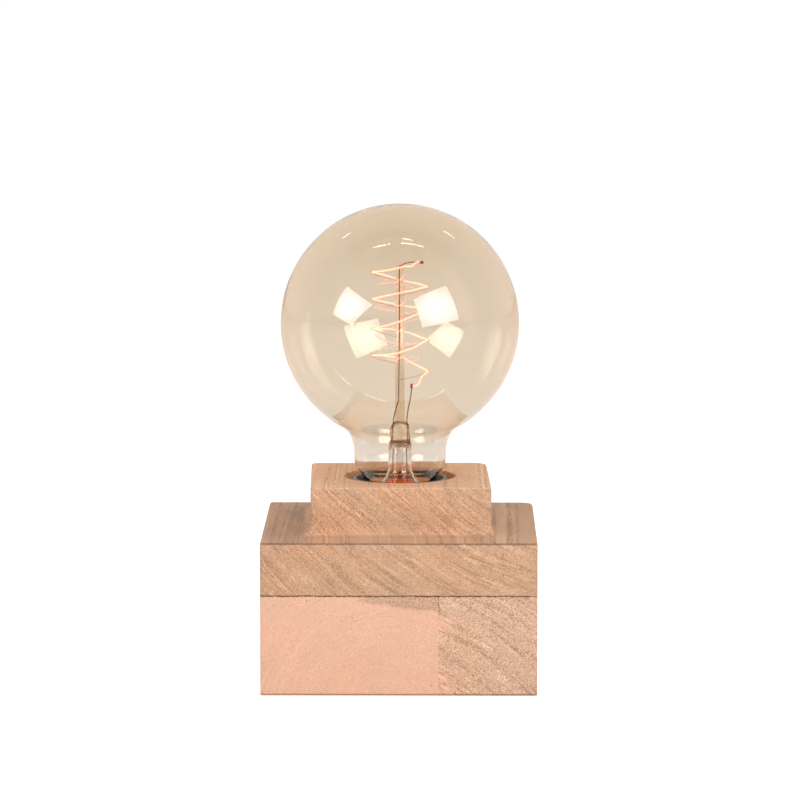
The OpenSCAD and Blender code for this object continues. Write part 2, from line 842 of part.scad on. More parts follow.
// Wire hook for the filament at half turn s: out of the rod, and up round the filament's outside
function hook_route(s) =
  let (
    p = spiral_point(s),
    out = [sign(p.x), 0, 0],
    up = [0, 0, 1],
    foot = [0, 0, p.z - hook_drop],
    elbow = foot + [hook_elbow[0] * p.x, 0, hook_elbow[1] * hook_drop],
    grip = [for (a = [-60:34:110]) p + hook_grip * (cos(a) * out + sin(a) * up)]
  )
  concat([for (k = [0:5]) bend(foot, elbow, grip[0], k / 6)], grip);

module support_hooks() {
  color("#8c7f76") for (s = [1:half_turns]) tube(hook_route(s), wire_r, 6, [0, 1, 0]);
}

// A lead wire, flattened out over its last stretch, where it pinches the filament's end. It runs
// through route, and the pinch lies round the clamp point along way.
module lead_wire(route, clamp, way) {
  step = pinch_l / 2 * unit(way);
  neck = clamp - 1.25 * step;
  tube(concat(route, [neck, clamp - step, clamp, clamp + step]), lead_r, 6, [0, 1, 0.02], pinch_r, 3);
}

// From the button at the cap's foot, up in front of the rod and over it to the upper clamp
module lead_wire_long() {
  x = lead_x;
  front = -(rod_r + lead_r + lead_gap);
  color("#7d6f66") lead_wire([
    [0, 0, cap_foot_z + contact_h + 0.1], [0, 0, exhaust_foot - 5], [-1.4, 0, exhaust_foot - 2],
    [-x, 0, exhaust_foot + 4], [-x, 0, stem_top], [-x, 0, press_top - 0.5], [-2.5, -0.5, press_top + 0.9],
    [-1.8, -1.7, press_top + 3], [-0.8, -2.3, press_top + 6], [-0.3, front, press_top + 10],
    [-0.2, front, press_top + 40], [-0.2, front, rod_top - 2.5], [0.1, -2, rod_top - 0.4],
    [0.7, -1, rod_top + 0.8], [1.9, 0.2, rod_top + 1.3], [3.7, 0.6, rod_top + 1.2], [6.3, 0.3, rod_top + 0.7]
  ], top_clamp, [1, 0, -0.1]);
}

// From the cap's wall, up through the stem to the lower clamp
module lead_wire_short() {
  x = lead_x;
  color("#6f625c") lead_wire([
    [11.3, 0, cap_rim_z - 11], [9.4, 0, cap_rim_z - 8.6], [6, 0, cap_rim_z - 5.4],
    [3.6, 0, cap_rim_z - 1.8], [x, 0, cap_rim_z + 3], [x, 0, press_top - 0.5], [2.9, 0, press_top + 1.5],
    [3.6, -0.4, press_top + 6], [4.5, -0.9, press_top + 10.5]
  ], low_clamp, [0.05, -0.1, 1]);
}

module filament() {
  color("#ff9a3c") tube(filament_route, filament_r, 6, [0, 0, 1]);
}

// ---------------------------------------------------------------- assembly

top_block();
lower_block_left();
lower_block_right();
felt_pad();
cable_bush();
fixing_nipple();
nipple_nut();
nut_washer();
collar_set_screw();
holder_dome();
holder_sleeve();
insulating_sleeve();
holder_screw_shell();
contact_block();
centre_contact();
contact_rivets();
terminal_plates();
terminal_screws();
cap_contact();
cap_insulator();
cap_shell();
cap_cement();
glass_envelope();
stem();
exhaust_tube();
support_rod();
support_hooks();
lead_wire_long();
lead_wire_short();
filament();
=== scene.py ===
"""Looks of a bare bulb table lamp: a stepped block of glued wood with a globe bulb sunk in it.

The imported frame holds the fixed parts. The operators here dress them, and model the wood, the bulb's
glass and its wires around them. Lengths are in metres.
"""

import json
import math

import bmesh
import bpy
from bpy.props import FloatProperty, FloatVectorProperty, PointerProperty
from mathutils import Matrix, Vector, noise

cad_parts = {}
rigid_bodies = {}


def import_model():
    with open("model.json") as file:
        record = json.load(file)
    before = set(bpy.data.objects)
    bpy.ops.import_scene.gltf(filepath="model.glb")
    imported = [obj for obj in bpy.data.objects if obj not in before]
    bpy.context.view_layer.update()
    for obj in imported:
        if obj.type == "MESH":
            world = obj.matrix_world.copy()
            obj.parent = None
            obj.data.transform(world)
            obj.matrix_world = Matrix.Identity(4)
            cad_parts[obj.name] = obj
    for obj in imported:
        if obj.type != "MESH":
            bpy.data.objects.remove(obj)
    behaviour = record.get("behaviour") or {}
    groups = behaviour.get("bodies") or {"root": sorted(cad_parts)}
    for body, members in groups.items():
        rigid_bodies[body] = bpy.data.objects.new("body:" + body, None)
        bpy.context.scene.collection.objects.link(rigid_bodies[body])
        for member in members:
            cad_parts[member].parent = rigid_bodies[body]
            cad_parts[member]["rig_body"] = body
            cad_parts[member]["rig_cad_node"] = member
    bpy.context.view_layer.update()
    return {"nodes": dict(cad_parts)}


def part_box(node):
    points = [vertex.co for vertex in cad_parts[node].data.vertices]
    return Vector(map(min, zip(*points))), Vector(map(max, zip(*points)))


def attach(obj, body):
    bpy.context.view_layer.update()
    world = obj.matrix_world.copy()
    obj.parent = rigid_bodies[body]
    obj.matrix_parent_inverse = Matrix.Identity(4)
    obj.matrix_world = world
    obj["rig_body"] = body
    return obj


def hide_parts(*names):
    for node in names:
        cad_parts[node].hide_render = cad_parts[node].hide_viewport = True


bl_info = {
    "name": "Bare Bulb Table Lamp",
    "version": (1, 0, 0),
    "blender": (4, 5, 0),
    "location": "3D View > Sidebar > Lamp",
    "description": "Models and dresses a wooden table lamp with a globe bulb",
    "category": "Object",
}

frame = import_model()

MM = 0.001
SAME_PLACE = 0.002 * MM  # vertices closer than this are merged
SLACK = 0.001 * MM  # coordinates that differ by less count as equal


def low(node):
    """Lowest corner of a CAD node."""
    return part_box(node)[0]


def high(node):
    """Highest corner of a CAD node."""
    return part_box(node)[1]


# Places that the frame fixes
BASE_HALF = high("top_block").x
FELT_TOP = high("felt_pad").z
FELT_HALF = high("felt_pad").x
FOOT_Z = low("lower_block_left").z
GLUE_Z = low("top_block").z
TOP_Z = high("top_block").z
JOINT_X = low("lower_block_right").x
WELL_FLOOR = low("holder_dome").z
NUT_SEAT = high("nut_washer").z
CABLE_Z = (low("cable_bush").z + high("cable_bush").z) / 2
CAP_RIM = high("cap_shell").z
GLOBE_TOP = high("glass_envelope").z
GLOBE_MIDDLE = Vector((0, 0, GLOBE_TOP - high("glass_envelope").x))
NECK_FOOT = low("glass_envelope").z
PRESS_TOP = low("support_rod").z
ROD_TOP = high("support_rod").z
ROD_R = high("support_rod").x
SPIRAL_TOP = CAP_RIM + 88.8 * MM


# ---------------------------------------------------------------- settings


class LampWood(bpy.types.PropertyGroup):
    """Shape and colours of the wooden block."""

    shoulder_height: FloatProperty(
        name="Shoulder height", description="Height of the upper layer's shoulder",
        default=21 * MM, min=15 * MM, max=30 * MM, unit="LENGTH")
    plinth_width: FloatProperty(
        name="Plinth width", description="Width and depth of the raised plinth",
        default=71 * MM, min=60 * MM, max=80 * MM, unit="LENGTH")
    well_radius: FloatProperty(
        name="Well radius", description="Radius of the hole that the lampholder stands in",
        default=22 * MM, min=21 * MM, max=24 * MM, unit="LENGTH")
    cove_left: FloatProperty(
        name="Left cove", description="Width of the cove at the plinth's left foot",
        default=4.6 * MM, min=1 * MM, max=6 * MM, unit="LENGTH")
    cove_right: FloatProperty(
        name="Right cove", description="Width of the cove at the plinth's right foot",
        default=1.8 * MM, min=1 * MM, max=6 * MM, unit="LENGTH")
    cove_front: FloatProperty(
        name="Front cove", description="Width of the cove at the plinth's front foot",
        default=3.6 * MM, min=1 * MM, max=6 * MM, unit="LENGTH")
    cove_back: FloatProperty(
        name="Back cove", description="Width of the cove at the plinth's back foot",
        default=3.0 * MM, min=1 * MM, max=6 * MM, unit="LENGTH")
    front_corner: FloatProperty(
        name="Front corners", description="Radius of the upright corners at the front",
        default=1.2 * MM, min=0.3 * MM, max=3 * MM, unit="LENGTH")
    back_left_corner: FloatProperty(
        name="Back left corners", description="Radius of the upright corners at the back on the left",
        default=1.8 * MM, min=0.3 * MM, max=6 * MM, unit="LENGTH")
    back_right_corner: FloatProperty(
        name="Back right corners", description="Radius of the upright corners at the back on the right",
        default=5.4 * MM, min=0.3 * MM, max=6 * MM, unit="LENGTH")
    plinth_turn: FloatProperty(
        name="Plinth turn", description="Angle by which the hand-cut plinth stands out of square",
        default=math.radians(1.2), min=0, max=math.radians(3), unit="ROTATION")
    rim_softness: FloatProperty(
        name="Rim softness", description="Radius to which the rims are sanded",
        default=0.8 * MM, min=0.2 * MM, max=2 * MM, unit="LENGTH")
    upper_colour: FloatVectorProperty(
        name="Upper layer", description="Colour of the upper layer between the rings",
        default=(0.624, 0.36, 0.217), size=3, min=0, max=1, subtype="COLOR")
    lower_left_colour: FloatVectorProperty(
        name="Lower left", description="Colour of the lower layer left of its joint",
        default=(0.84, 0.486, 0.335), size=3, min=0, max=1, subtype="COLOR")
    lower_right_colour: FloatVectorProperty(
        name="Lower right", description="Colour of the lower layer right of its joint",
        default=(0.71, 0.432, 0.287), size=3, min=0, max=1, subtype="COLOR")


class LampBulb(bpy.types.PropertyGroup):
    """Shape and colours of the bulb."""

    globe_radius: FloatProperty(
        name="Globe radius", description="Outer radius of the globe",
        default=47.5 * MM, min=40 * MM, max=62.5 * MM, unit="LENGTH")
    neck_radius: FloatProperty(
        name="Neck radius", description="Outer radius of the glass neck",
        default=18.35 * MM, min=17 * MM, max=20 * MM, unit="LENGTH")
    glass_thickness: FloatProperty(
        name="Glass thickness", description="Thickness of the bulb's glass",
        default=0.7 * MM, min=0.4 * MM, max=1 * MM, unit="LENGTH")
    globe_tint: FloatVectorProperty(
        name="Globe tint", description="Colour that one wall of the globe gives to light",
        default=(0.832, 0.749, 0.648), size=3, min=0, max=1, subtype="COLOR")
    neck_tint: FloatVectorProperty(
        name="Neck tint", description="Colour that one wall of the neck gives to light",
        default=(0.81, 0.752, 0.69), size=3, min=0, max=1, subtype="COLOR")
    filament_colour: FloatVectorProperty(
        name="Filament glow", description="Colour of the filament's light",
        default=(1.0, 0.145, 0.11), size=3, min=0, max=1, subtype="COLOR")
    filament_strength: FloatProperty(
        name="Filament strength", description="Strength of the filament's light",
        default=9.0, min=0, max=50)
    coil_radius: FloatProperty(
        name="Filament coil", description="Radius to which the filament's wire is coiled",
        default=0.24 * MM, min=0.1 * MM, max=0.4 * MM, unit="LENGTH")


class LampStage(bpy.types.PropertyGroup):
    """Light round the lamp."""

    key_strength: FloatProperty(
        name="Key lights", description="Radiance of the two square lights in front",
        default=4.6, min=0, max=50)
    side_strength: FloatProperty(
        name="Side panels", description="Radiance of the tall panels left and right",
        default=1.2, min=0, max=20)
    tube_strength: FloatProperty(
        name="Ceiling tubes", description="Radiance of the thin tubes overhead",
        default=22.0, min=0, max=50)
    top_strength: FloatProperty(
        name="Top light", description="Power of the wide light overhead, in watts",
        default=26.0, min=0, max=200)
    ambient: FloatProperty(
        name="Ambient", description="Brightness of the room as matt surfaces see it",
        default=0.42, min=0, max=2)
    mirrored_room: FloatProperty(
        name="Mirrored room", description="Brightness of the room in front, as glass and metal mirror it",
        default=0.42, min=0, max=1)
    floor_glow: FloatProperty(
        name="Floor brightness", description="Light of the floor that doesn't depend on its shadow",
        default=0.86, min=0, max=1)


# ---------------------------------------------------------------- modelling


def clear_selection():
    """Leaves edit mode and deselects everything."""
    if bpy.context.object and bpy.context.object.mode != "OBJECT":
        bpy.ops.object.mode_set(mode="OBJECT")
    bpy.ops.object.select_all(action="DESELECT")


def new_piece(name):
    """Names the object that an operator has just added, and goes into edit mode with all of it selected."""
    piece = bpy.context.object
    piece.name = piece.data.name = name
    bpy.ops.object.mode_set(mode="EDIT")
    bpy.ops.mesh.select_mode(type="VERT")
    bpy.ops.mesh.select_all(action="SELECT")
    return piece


def work_on(piece):
    """Makes a piece the only selected and the active one."""
    clear_selection()
    piece.select_set(True)
    bpy.context.view_layer.objects.active = piece


def select(piece, kind, test):
    """Selects, in edit mode, only the vertices, edges or faces that pass the test."""
    bpy.ops.mesh.select_mode(type=kind)
    bpy.ops.mesh.select_all(action="DESELECT")
    mesh = bmesh.from_edit_mesh(piece.data)
    for element in {"VERT": mesh.verts, "EDGE": mesh.edges, "FACE": mesh.faces}[kind]:
        if test(element):
            element.select_set(True)
    mesh.select_flush_mode()
    bmesh.update_edit_mesh(piece.data)


def add_block(name, lowest, highest):
    """A cuboid between two corners, left in edit mode."""
    clear_selection()
    bpy.ops.mesh.primitive_cube_add(size=1)
    piece = new_piece(name)
    bpy.ops.transform.resize(value=highest - lowest, center_override=(0, 0, 0))
    bpy.ops.transform.translate(value=(highest + lowest) / 2)
    return piece


def add_ring(name, radius, height, sides):
    """An open ring of vertices round the Z axis, left in edit mode with all of it selected."""
    clear_selection()
    bpy.ops.mesh.primitive_circle_add(vertices=sides, radius=radius, location=(0, 0, 0))
    piece = new_piece(name)
    bpy.ops.transform.translate(value=(0, 0, height))
    return piece


def extrude_to(old, new):
    """Extrudes what is selected and fits it to a new box. A box is x low, x high, y low, y high, z."""
    bpy.ops.mesh.extrude_region_move()
    scale = ((new[1] - new[0]) / (old[1] - old[0]), (new[3] - new[2]) / (old[3] - old[2]), 1)
    middle = Vector(((old[0] + old[1]) / 2, (old[2] + old[3]) / 2, old[4]))
    bpy.ops.transform.resize(value=scale, center_override=middle)
    move = Vector(((new[0] + new[1]) / 2, (new[2] + new[3]) / 2, new[4])) - middle
    bpy.ops.transform.translate(value=move)


def draw_line(name, points):
    """An open line through points, drawn from one vertex by extruding it, left in edit mode."""
    clear_selection()
    bpy.ops.mesh.primitive_plane_add(size=MM)
    piece = new_piece(name)
    bpy.ops.mesh.merge(type="CENTER")
    bpy.ops.transform.translate(value=points[0])
    for a, b in zip(points, points[1:]):
        bpy.ops.mesh.extrude_region_move(TRANSFORM_OT_translate={"value": b - a})
    return piece


def spin_closed(steps, centre, axis):
    """Spins the line in edit mode all the way round, into a closed skin."""
    bpy.ops.mesh.select_all(action="SELECT")
    bpy.ops.mesh.spin(steps=steps, angle=math.tau, center=centre, axis=axis)
    merge_and_turn_out(SAME_PLACE)


def merge_and_turn_out(nearness):
    """Merges what lies in one place, turns all faces outwards and leaves edit mode."""
    bpy.ops.mesh.select_all(action="SELECT")
    bpy.ops.mesh.remove_doubles(threshold=nearness)
    bpy.ops.mesh.normals_make_consistent(inside=False)
    bpy.ops.object.mode_set(mode="OBJECT")


def spin_round(name, profile, steps=128):
    """A closed skin of revolution round the Z axis. The profile is a list of (radius, height), and starts
    and ends on the axis or where it starts."""
    piece = draw_line(name, [Vector((r, 0, z)) for r, z in profile])
    spin_closed(steps, (0, 0, 0), (0, 0, 1))
    return piece


def apply_modifier(piece, kind, **settings):
    """Adds a modifier and applies it."""
    work_on(piece)
    modifier = piece.modifiers.new(kind, kind)
    for key, value in settings.items():
        setattr(modifier, key, value)
    bpy.ops.object.modifier_apply(modifier=modifier.name)


def cut_away(piece, tool):
    """Takes a tool's shape out of a piece, and removes the tool."""
    apply_modifier(piece, "BOOLEAN", object=tool, operation="DIFFERENCE", solver="EXACT")
    bpy.data.objects.remove(tool)


def smooth(piece, angle=35):
    """Shades a piece smooth, apart from edges sharper than an angle."""
    work_on(piece)
    bpy.ops.object.shade_smooth_by_angle(angle=math.radians(angle))


def arc(centre, radius, start, end, steps):
    """Points (radius, height) of an arc of a profile, between two angles in degrees."""
    turns = [math.radians(start + (end - start) * i / steps) for i in range(steps + 1)]
    return [(centre[0] + radius * math.cos(a), centre[1] + radius * math.sin(a)) for a in turns]


def smooth_route(points, steps):
    """Points of a smooth curve through given points."""
    padded = [2 * points[0] - points[1], *points, 2 * points[-1] - points[-2]]
    route = []
    for a, b, c, d in zip(padded, padded[1:], padded[2:], padded[3:]):
        for i in range(steps):
            t = i / steps
            route.append(0.5 * (2 * b + (c - a) * t + (2 * a - 5 * b + 4 * c - d) * t * t
                                + (3 * b - a - 3 * c + d) * t ** 3))
    return [*route, points[-1]]


def add_wire(name, routes, radius, sides=8):
    """One mesh tube along each route. A route's points are vectors, or pairs of a vector and a radius."""
    clear_selection()
    bpy.ops.curve.primitive_nurbs_path_add(location=(0, 0, 0))
    wire = bpy.context.object
    wire.name = wire.data.name = name
    wire.data.splines.clear()
    for route in routes:
        spline = wire.data.splines.new("POLY")
        spline.points.add(len(route) - 1)
        for point, place in zip(spline.points, route):
            place, thickness = place if isinstance(place, tuple) else (place, 1)
            point.co = (*place, 1)
            point.radius = thickness
    wire.data.bevel_depth = radius
    wire.data.bevel_resolution = max(0, sides // 4 - 1)
    wire.data.use_fill_caps = True
    work_on(wire)
    bpy.ops.object.convert(target="MESH")
    bpy.ops.object.mode_set(mode="EDIT")
    merge_and_turn_out(SAME_PLACE / 2)
    return bpy.context.object


def copy_node(node, name):
    """A copy of a CAD node as a piece of its own, its loose triangles merged into quads."""
    clear_selection()
    source = frame["nodes"][node]
    piece = source.copy()
    piece.data = source.data.copy()
    piece.name = piece.data.name = name
    piece.parent = None
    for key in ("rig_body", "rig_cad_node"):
        del piece[key]
    bpy.context.scene.collection.objects.link(piece)
    work_on(piece)
    bpy.ops.mesh.customdata_custom_splitnormals_clear()
    bpy.ops.object.mode_set(mode="EDIT")
    bpy.ops.mesh.select_all(action="SELECT")
    bpy.ops.mesh.remove_doubles(threshold=SAME_PLACE)
    flat_enough = math.radians(60)
    bpy.ops.mesh.tris_convert_to_quads(face_threshold=flat_enough, shape_threshold=flat_enough)
    bpy.ops.mesh.mark_sharp(clear=True)
    bpy.ops.object.mode_set(mode="OBJECT")
    return piece


def dress(piece, material):
    """Gives a piece its material."""
    piece.data.materials.clear()
    piece.data.materials.append(material)


def stand_for(piece, body, material, slot, *nodes):
    """Finishes a piece: its material, the body it rides on, and the CAD nodes it stands for."""
    dress(piece, material)
    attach(piece, body)
    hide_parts(*nodes)


def dress_node(node, material):
    """Gives a CAD node, which stays as it is, its material."""
    for slot in frame["nodes"][node].material_slots:
        slot.material = material


# ---------------------------------------------------------------- shading


class Value:
    """A socket of a shader graph. Sums and products of values add the Math nodes they need."""

    def __init__(self, graph, socket):
        self.graph = graph
        self.socket = socket

    def math(self, operation, *others):
        """A Math node on this value and others, or a Vector Math node if this one is a vector."""
        kind = "ShaderNodeVectorMath" if self.socket.type == "VECTOR" else "ShaderNodeMath"
        inputs = {0: self, **{i + 1: other for i, other in enumerate(others)}}
        return self.graph.node(kind, {"operation": operation}, inputs)

    def flipped(self, operation, other):
        """other operation self, for a number on the left."""
        return self.graph.node("ShaderNodeMath", {"operation": operation}, {0: other, 1: self})

    def __add__(self, other):
        return self.math("ADD", other)

    __radd__ = __add__

    def __sub__(self, other):
        return self.math("SUBTRACT", other)

    def __rsub__(self, other):
        return self.flipped("SUBTRACT", other)

    def __mul__(self, other):
        return self.math("MULTIPLY", other)

    __rmul__ = __mul__

    def __truediv__(self, other):
        return self.math("DIVIDE", other)

    def __pow__(self, other):
        return self.math("POWER", other)

    def __abs__(self):
        return self.math("ABSOLUTE")

    def rise(self, start, end):
        """0 below start and 1 above end, smooth between them."""
        return self.graph.node(
            "ShaderNodeMapRange", {"interpolation_type": "SMOOTHSTEP"},
            {"Value": self, "From Min": start, "From Max": end}, "Result")

    def fall(self, start, end):
        """1 below start and 0 above end, smooth between them."""
        return 1 - self.rise(start, end)


class Graph:
    """The nodes of one material, or of the world, ending in its one shader."""

    def __init__(self, name, world=None):
        self.material = world or bpy.data.materials.new(name)
        self.material.use_nodes = True
        self.nodes = self.material.node_tree.nodes
        self.links = self.material.node_tree.links
        self.shader = self.nodes["Background" if world else "Principled BSDF"]
        self.output = self.nodes["World Output" if world else "Material Output"]

    def node(self, kind, settings=None, inputs=None, output=0):
        """Adds a node and returns one of its outputs. Inputs are values, or links to values."""
        made = self.nodes.new(kind)
        for key, value in (settings or {}).items():
            setattr(made, key, value)
        for key, value in (inputs or {}).items():
            self.feed(made.inputs[key], value)
        return Value(self, made.outputs[output])

    def feed(self, socket, value):
        """Links a value to a socket, or sets the socket to a number, vector or colour."""
        if isinstance(value, Value):
            self.links.new(value.socket, socket)
        elif socket.type == "RGBA":
            socket.default_value = (*value, 1)
        else:
            socket.default_value = value

    def set(self, **inputs):
        """Sets or links the Principled shader's sockets, named with _ for a space."""
        for key, value in inputs.items():
            self.feed(self.shader.inputs[key.replace("_", " ")], value)
        return self

    def place(self, scale=1000.0):
        """The place on the piece, in millimetres unless another scale is given."""
        spot = self.node("ShaderNodeTexCoord", output="Object")
        return self.node("ShaderNodeVectorMath", {"operation": "SCALE"}, {0: spot, "Scale": scale})

    def parts(self, vector):
        """The x, y and z of a vector."""
        split = self.node("ShaderNodeSeparateXYZ", inputs={0: vector})
        return [Value(self, socket) for socket in split.socket.node.outputs]

    def height(self):
        """The height on the piece, in millimetres."""
        return self.parts(self.place())[2]

    def vector(self, x, y, z):
        """A vector from three numbers or values."""
        return self.node("ShaderNodeCombineXYZ", inputs={0: x, 1: y, 2: z})

    def noise(self, vector, scale, detail=3.0, roughness=0.55, distortion=0.0):
        """Noise from 0 to 1."""
        return self.node("ShaderNodeTexNoise", {}, {
            "Vector": vector, "Scale": scale, "Detail": detail, "Roughness": roughness,
            "Distortion": distortion}, "Fac")

    def cells(self, vector, scale):
        """Distance to the nearest of many scattered points."""
        return self.node("ShaderNodeTexVoronoi", {"feature": "F1"}, {
            "Vector": vector, "Scale": scale}, "Distance")

    def tint(self, share, a, factor):
        """Colour a, multiplied by a factor for each of its parts as share goes to 1."""
        return self.mix(share, a, self.node("ShaderNodeMix", {
            "data_type": "RGBA", "blend_type": "MULTIPLY"}, {0: 1.0, 6: a, 7: factor}, 2))

    def mix(self, share, a, b):
        """Colour a, going over to colour b as share goes to 1."""
        return self.node("ShaderNodeMix", {"data_type": "RGBA"}, {0: share, 6: a, 7: b}, 2)

    def rays(self, *kinds):
        """Outputs of the Light Path node."""
        path = self.nodes.new("ShaderNodeLightPath")
        return [Value(self, path.outputs[kind]) for kind in kinds]

    def show(self, share, first, second):
        """Shows the first shader, going over to the second as share goes to 1."""
        mixed = self.node("ShaderNodeMixShader", {}, {0: share, 1: first, 2: second})
        self.feed(self.output.inputs["Surface"], mixed)

    def bump(self, height, depth, strength=1.0):
        """Links a height, from 0 to 1, to the shader's normal as relief of a depth in metres."""
        self.set(Normal=self.node("ShaderNodeBump", {}, {
            "Height": height, "Distance": depth, "Strength": strength}))
        return self


def shade(colour, factor):
    """A colour made darker or lighter by a factor."""
    return tuple(min(1.0, c * factor) for c in colour)


def tone(red, green, blue):
    """A colour given as it looks on a screen, from 0 to 255, as a linear one."""
    return tuple(((c / 255 + 0.055) / 1.055) ** 2.4 for c in (red, green, blue))


class Grain:
    """Places in a block of wood whose rings lie round a pith that runs front to back. pith is its x and z,
    in millimetres."""

    def __init__(self, graph, pith, seed):
        self.graph = graph
        self.seed = seed
        self.spot = graph.place()
        self.x, self.y, self.z = graph.parts(self.spot)
        drift = (graph.noise(self.spot * Vector((1, 0.12, 1)), 0.02, 2, 0.5) - 0.5) * 6
        across = self.x - pith[0] + drift
        upward = self.z - pith[1] + drift
        self.distance = (across * across + upward * upward) ** 0.5
        self.turn = upward.math("ARCTAN2", across) * math.hypot(pith[0], pith[1] - GLUE_Z / MM)

    def across_grain(self, shift=(0, 0, 0)):
        """The place, drawn out along the grain."""
        return self.graph.vector(self.x, self.y * 0.1, self.z) + Vector(shift)

    def along_rings(self, width, length, offset, detail=2):
        """Noise drawn out along the rings, and further along the grain."""
        return self.graph.noise(self.graph.vector(
            self.distance / width + (self.seed * 13.7 + offset), self.turn / length,
            self.y / (12 * length)), 1, detail)


def wood(name, colour, pith, ring, seed, fleck=1.0, patch=1.0, streak=1.0, stain=None):
    """Solid wood, darkened just above its foot by a painted shadow. pith and ring, the rings' spacing, are
    in millimetres. fleck, patch and streak scale the speckle, the clouded colour and the ring lines. stain
    changes the colour and the fleck of zones that differ, and may paint light on some of them."""
    graph = Graph(name)
    grain = Grain(graph, pith, seed)
    body = graph.mix(0, colour, colour)
    if stain:
        body, fleck = stain(graph, (grain.x, grain.y, grain.z), body, fleck)
    clump = graph.noise(grain.across_grain((seed * 7, 0, 3)), 0.16, 3, 0.6)
    fleck = fleck * (clump.rise(0.3, 0.62) * 0.6 + 0.6)

    rings = grain.along_rings(ring, 110, 0)
    body = clouded(grain, body, patch, rings)
    body, dark_line = ring_lines(grain, body, streak, ring, rings)
    body, grit, dash = speckled(grain, body, fleck)

    # the first colour is a painted shadow for the wood just above the foot
    painted_foot_shadow, glue = (0.4, 0.32, 0.27), tone(112, 78, 58)
    foot = FOOT_Z / MM
    joint = glue_line(graph, grain.x, grain.z)
    # painted shadow: the wood is darker just above its foot, where the block stands on the floor
    body = graph.tint(grain.z.fall(foot + 0.4, foot + 0.9) * 0.8, body, painted_foot_shadow)
    body = graph.mix(joint, body, glue)
    relief = grit * 0.5 + dash * 0.4 - joint * 0.6 - dark_line * 0.3
    graph.set(Base_Color=body, Roughness=grit * 0.12 + 0.6, Specular_IOR_Level=0.3)
    return graph.bump(relief, 0.1 * MM, 0.5).material


def clouded(grain, body, patch, rings):
    """Wood with soft grey and pink clouds, and a little darker along every other ring."""
    graph = grain.graph
    grey, pink, brown = (0.86, 0.9, 0.92), (1.07, 0.98, 0.95), (0.95, 0.92, 0.9)
    spot = grain.spot * Vector((1, 0.35, 1))
    cloud = graph.noise(spot + Vector((grain.seed * 17, 0, 0)), 0.05, 3, 0.55)
    blush = graph.noise(spot + Vector((0, 0, grain.seed * 23)), 0.035, 2, 0.5)
    body = graph.tint(cloud.rise(0.38, 0.68) * 0.8 * patch, body, grey)
    body = graph.tint(blush.rise(0.48, 0.72) * 0.8 * patch, body, pink)
    return graph.tint(rings.rise(0.35, 0.65) * 0.6 * patch, body, brown)


def ring_lines(grain, body, streak, ring, rings):
    """Wood with fine bands, pale lines and dotted dark lines along its rings, and the dark lines' share."""
    graph = grain.graph
    band, pale, dark = (0.86, 0.82, 0.79), (1.2, 1.3, 1.36), (0.56, 0.48, 0.43)
    fine = grain.along_rings(ring / 4, 40, 5.1, 3)
    gaps = grain.along_rings(2.5, 7, 21.7).rise(0.4, 0.58)
    dots = grain.along_rings(0.4, 0.8, 9.3).rise(0.42, 0.56)
    pale_line = abs(rings - 0.55).fall(0.012, 0.035) + abs(rings - 0.41).fall(0.01, 0.03)
    dark_line = abs(rings - 0.515).fall(0.008, 0.024) + abs(rings - 0.6).fall(0.006, 0.018)
    body = graph.tint(fine.rise(0.52, 0.66) * 0.35 * streak, body, band)
    body = graph.tint(pale_line * gaps * 0.8 * streak, body, pale)
    return graph.tint(dark_line * dots * 0.8 * streak, body, dark), dark_line


def speckled(grain, body, fleck):
    """Wood with pale and dark pores and a few brown specks, and the pores' two patterns."""
    graph = grain.graph
    grit = graph.noise(grain.across_grain(), 2.1, 2, 0.6)
    dash = grain.along_rings(0.36, 1.1, 3.3)
    place = graph.vector(grain.x, grain.y * 0.25, grain.z) + Vector((grain.seed, 0, grain.seed))
    speck = graph.cells(place, 0.13).fall(0.03, 0.06)
    body = graph.tint(grit.rise(0.5, 0.68) * fleck * 0.9, body, (1.28, 1.42, 1.5))
    body = graph.tint(dash.rise(0.53, 0.7) * fleck * 0.4, body, (1.22, 1.33, 1.4))
    body = graph.tint(grit.fall(0.32, 0.5) * fleck * 0.9, body, (0.62, 0.54, 0.48))
    body = graph.tint(dash.fall(0.3, 0.44) * fleck * 0.4, body, (0.64, 0.56, 0.5))
    return graph.tint(speck * 0.55, body, (0.42, 0.33, 0.28)), grit, dash


def glue_line(graph, x, z):
    """Dark, broken line of glue where the layers and the lower blocks meet."""
    glue_height = GLUE_Z / MM
    joint_place = JOINT_X / MM
    spot = graph.place()
    wander = (graph.noise(spot, 0.3, 4, 0.7) - 0.5) * 1.5
    breaks = graph.noise(spot, 0.6, 3, 0.65).rise(0.35, 0.55)
    level = abs(z - glue_height + wander).fall(0.16, 0.48)
    upright = abs(x - joint_place + wander * 0.6).fall(0.08, 0.3) * z.fall(glue_height, glue_height + 0.3)
    top_part = z.rise(glue_height - 9.5, glue_height - 7.5)
    return level * (breaks * 0.55 + 0.35) + upright * breaks * (top_part * 0.65 + 0.06)


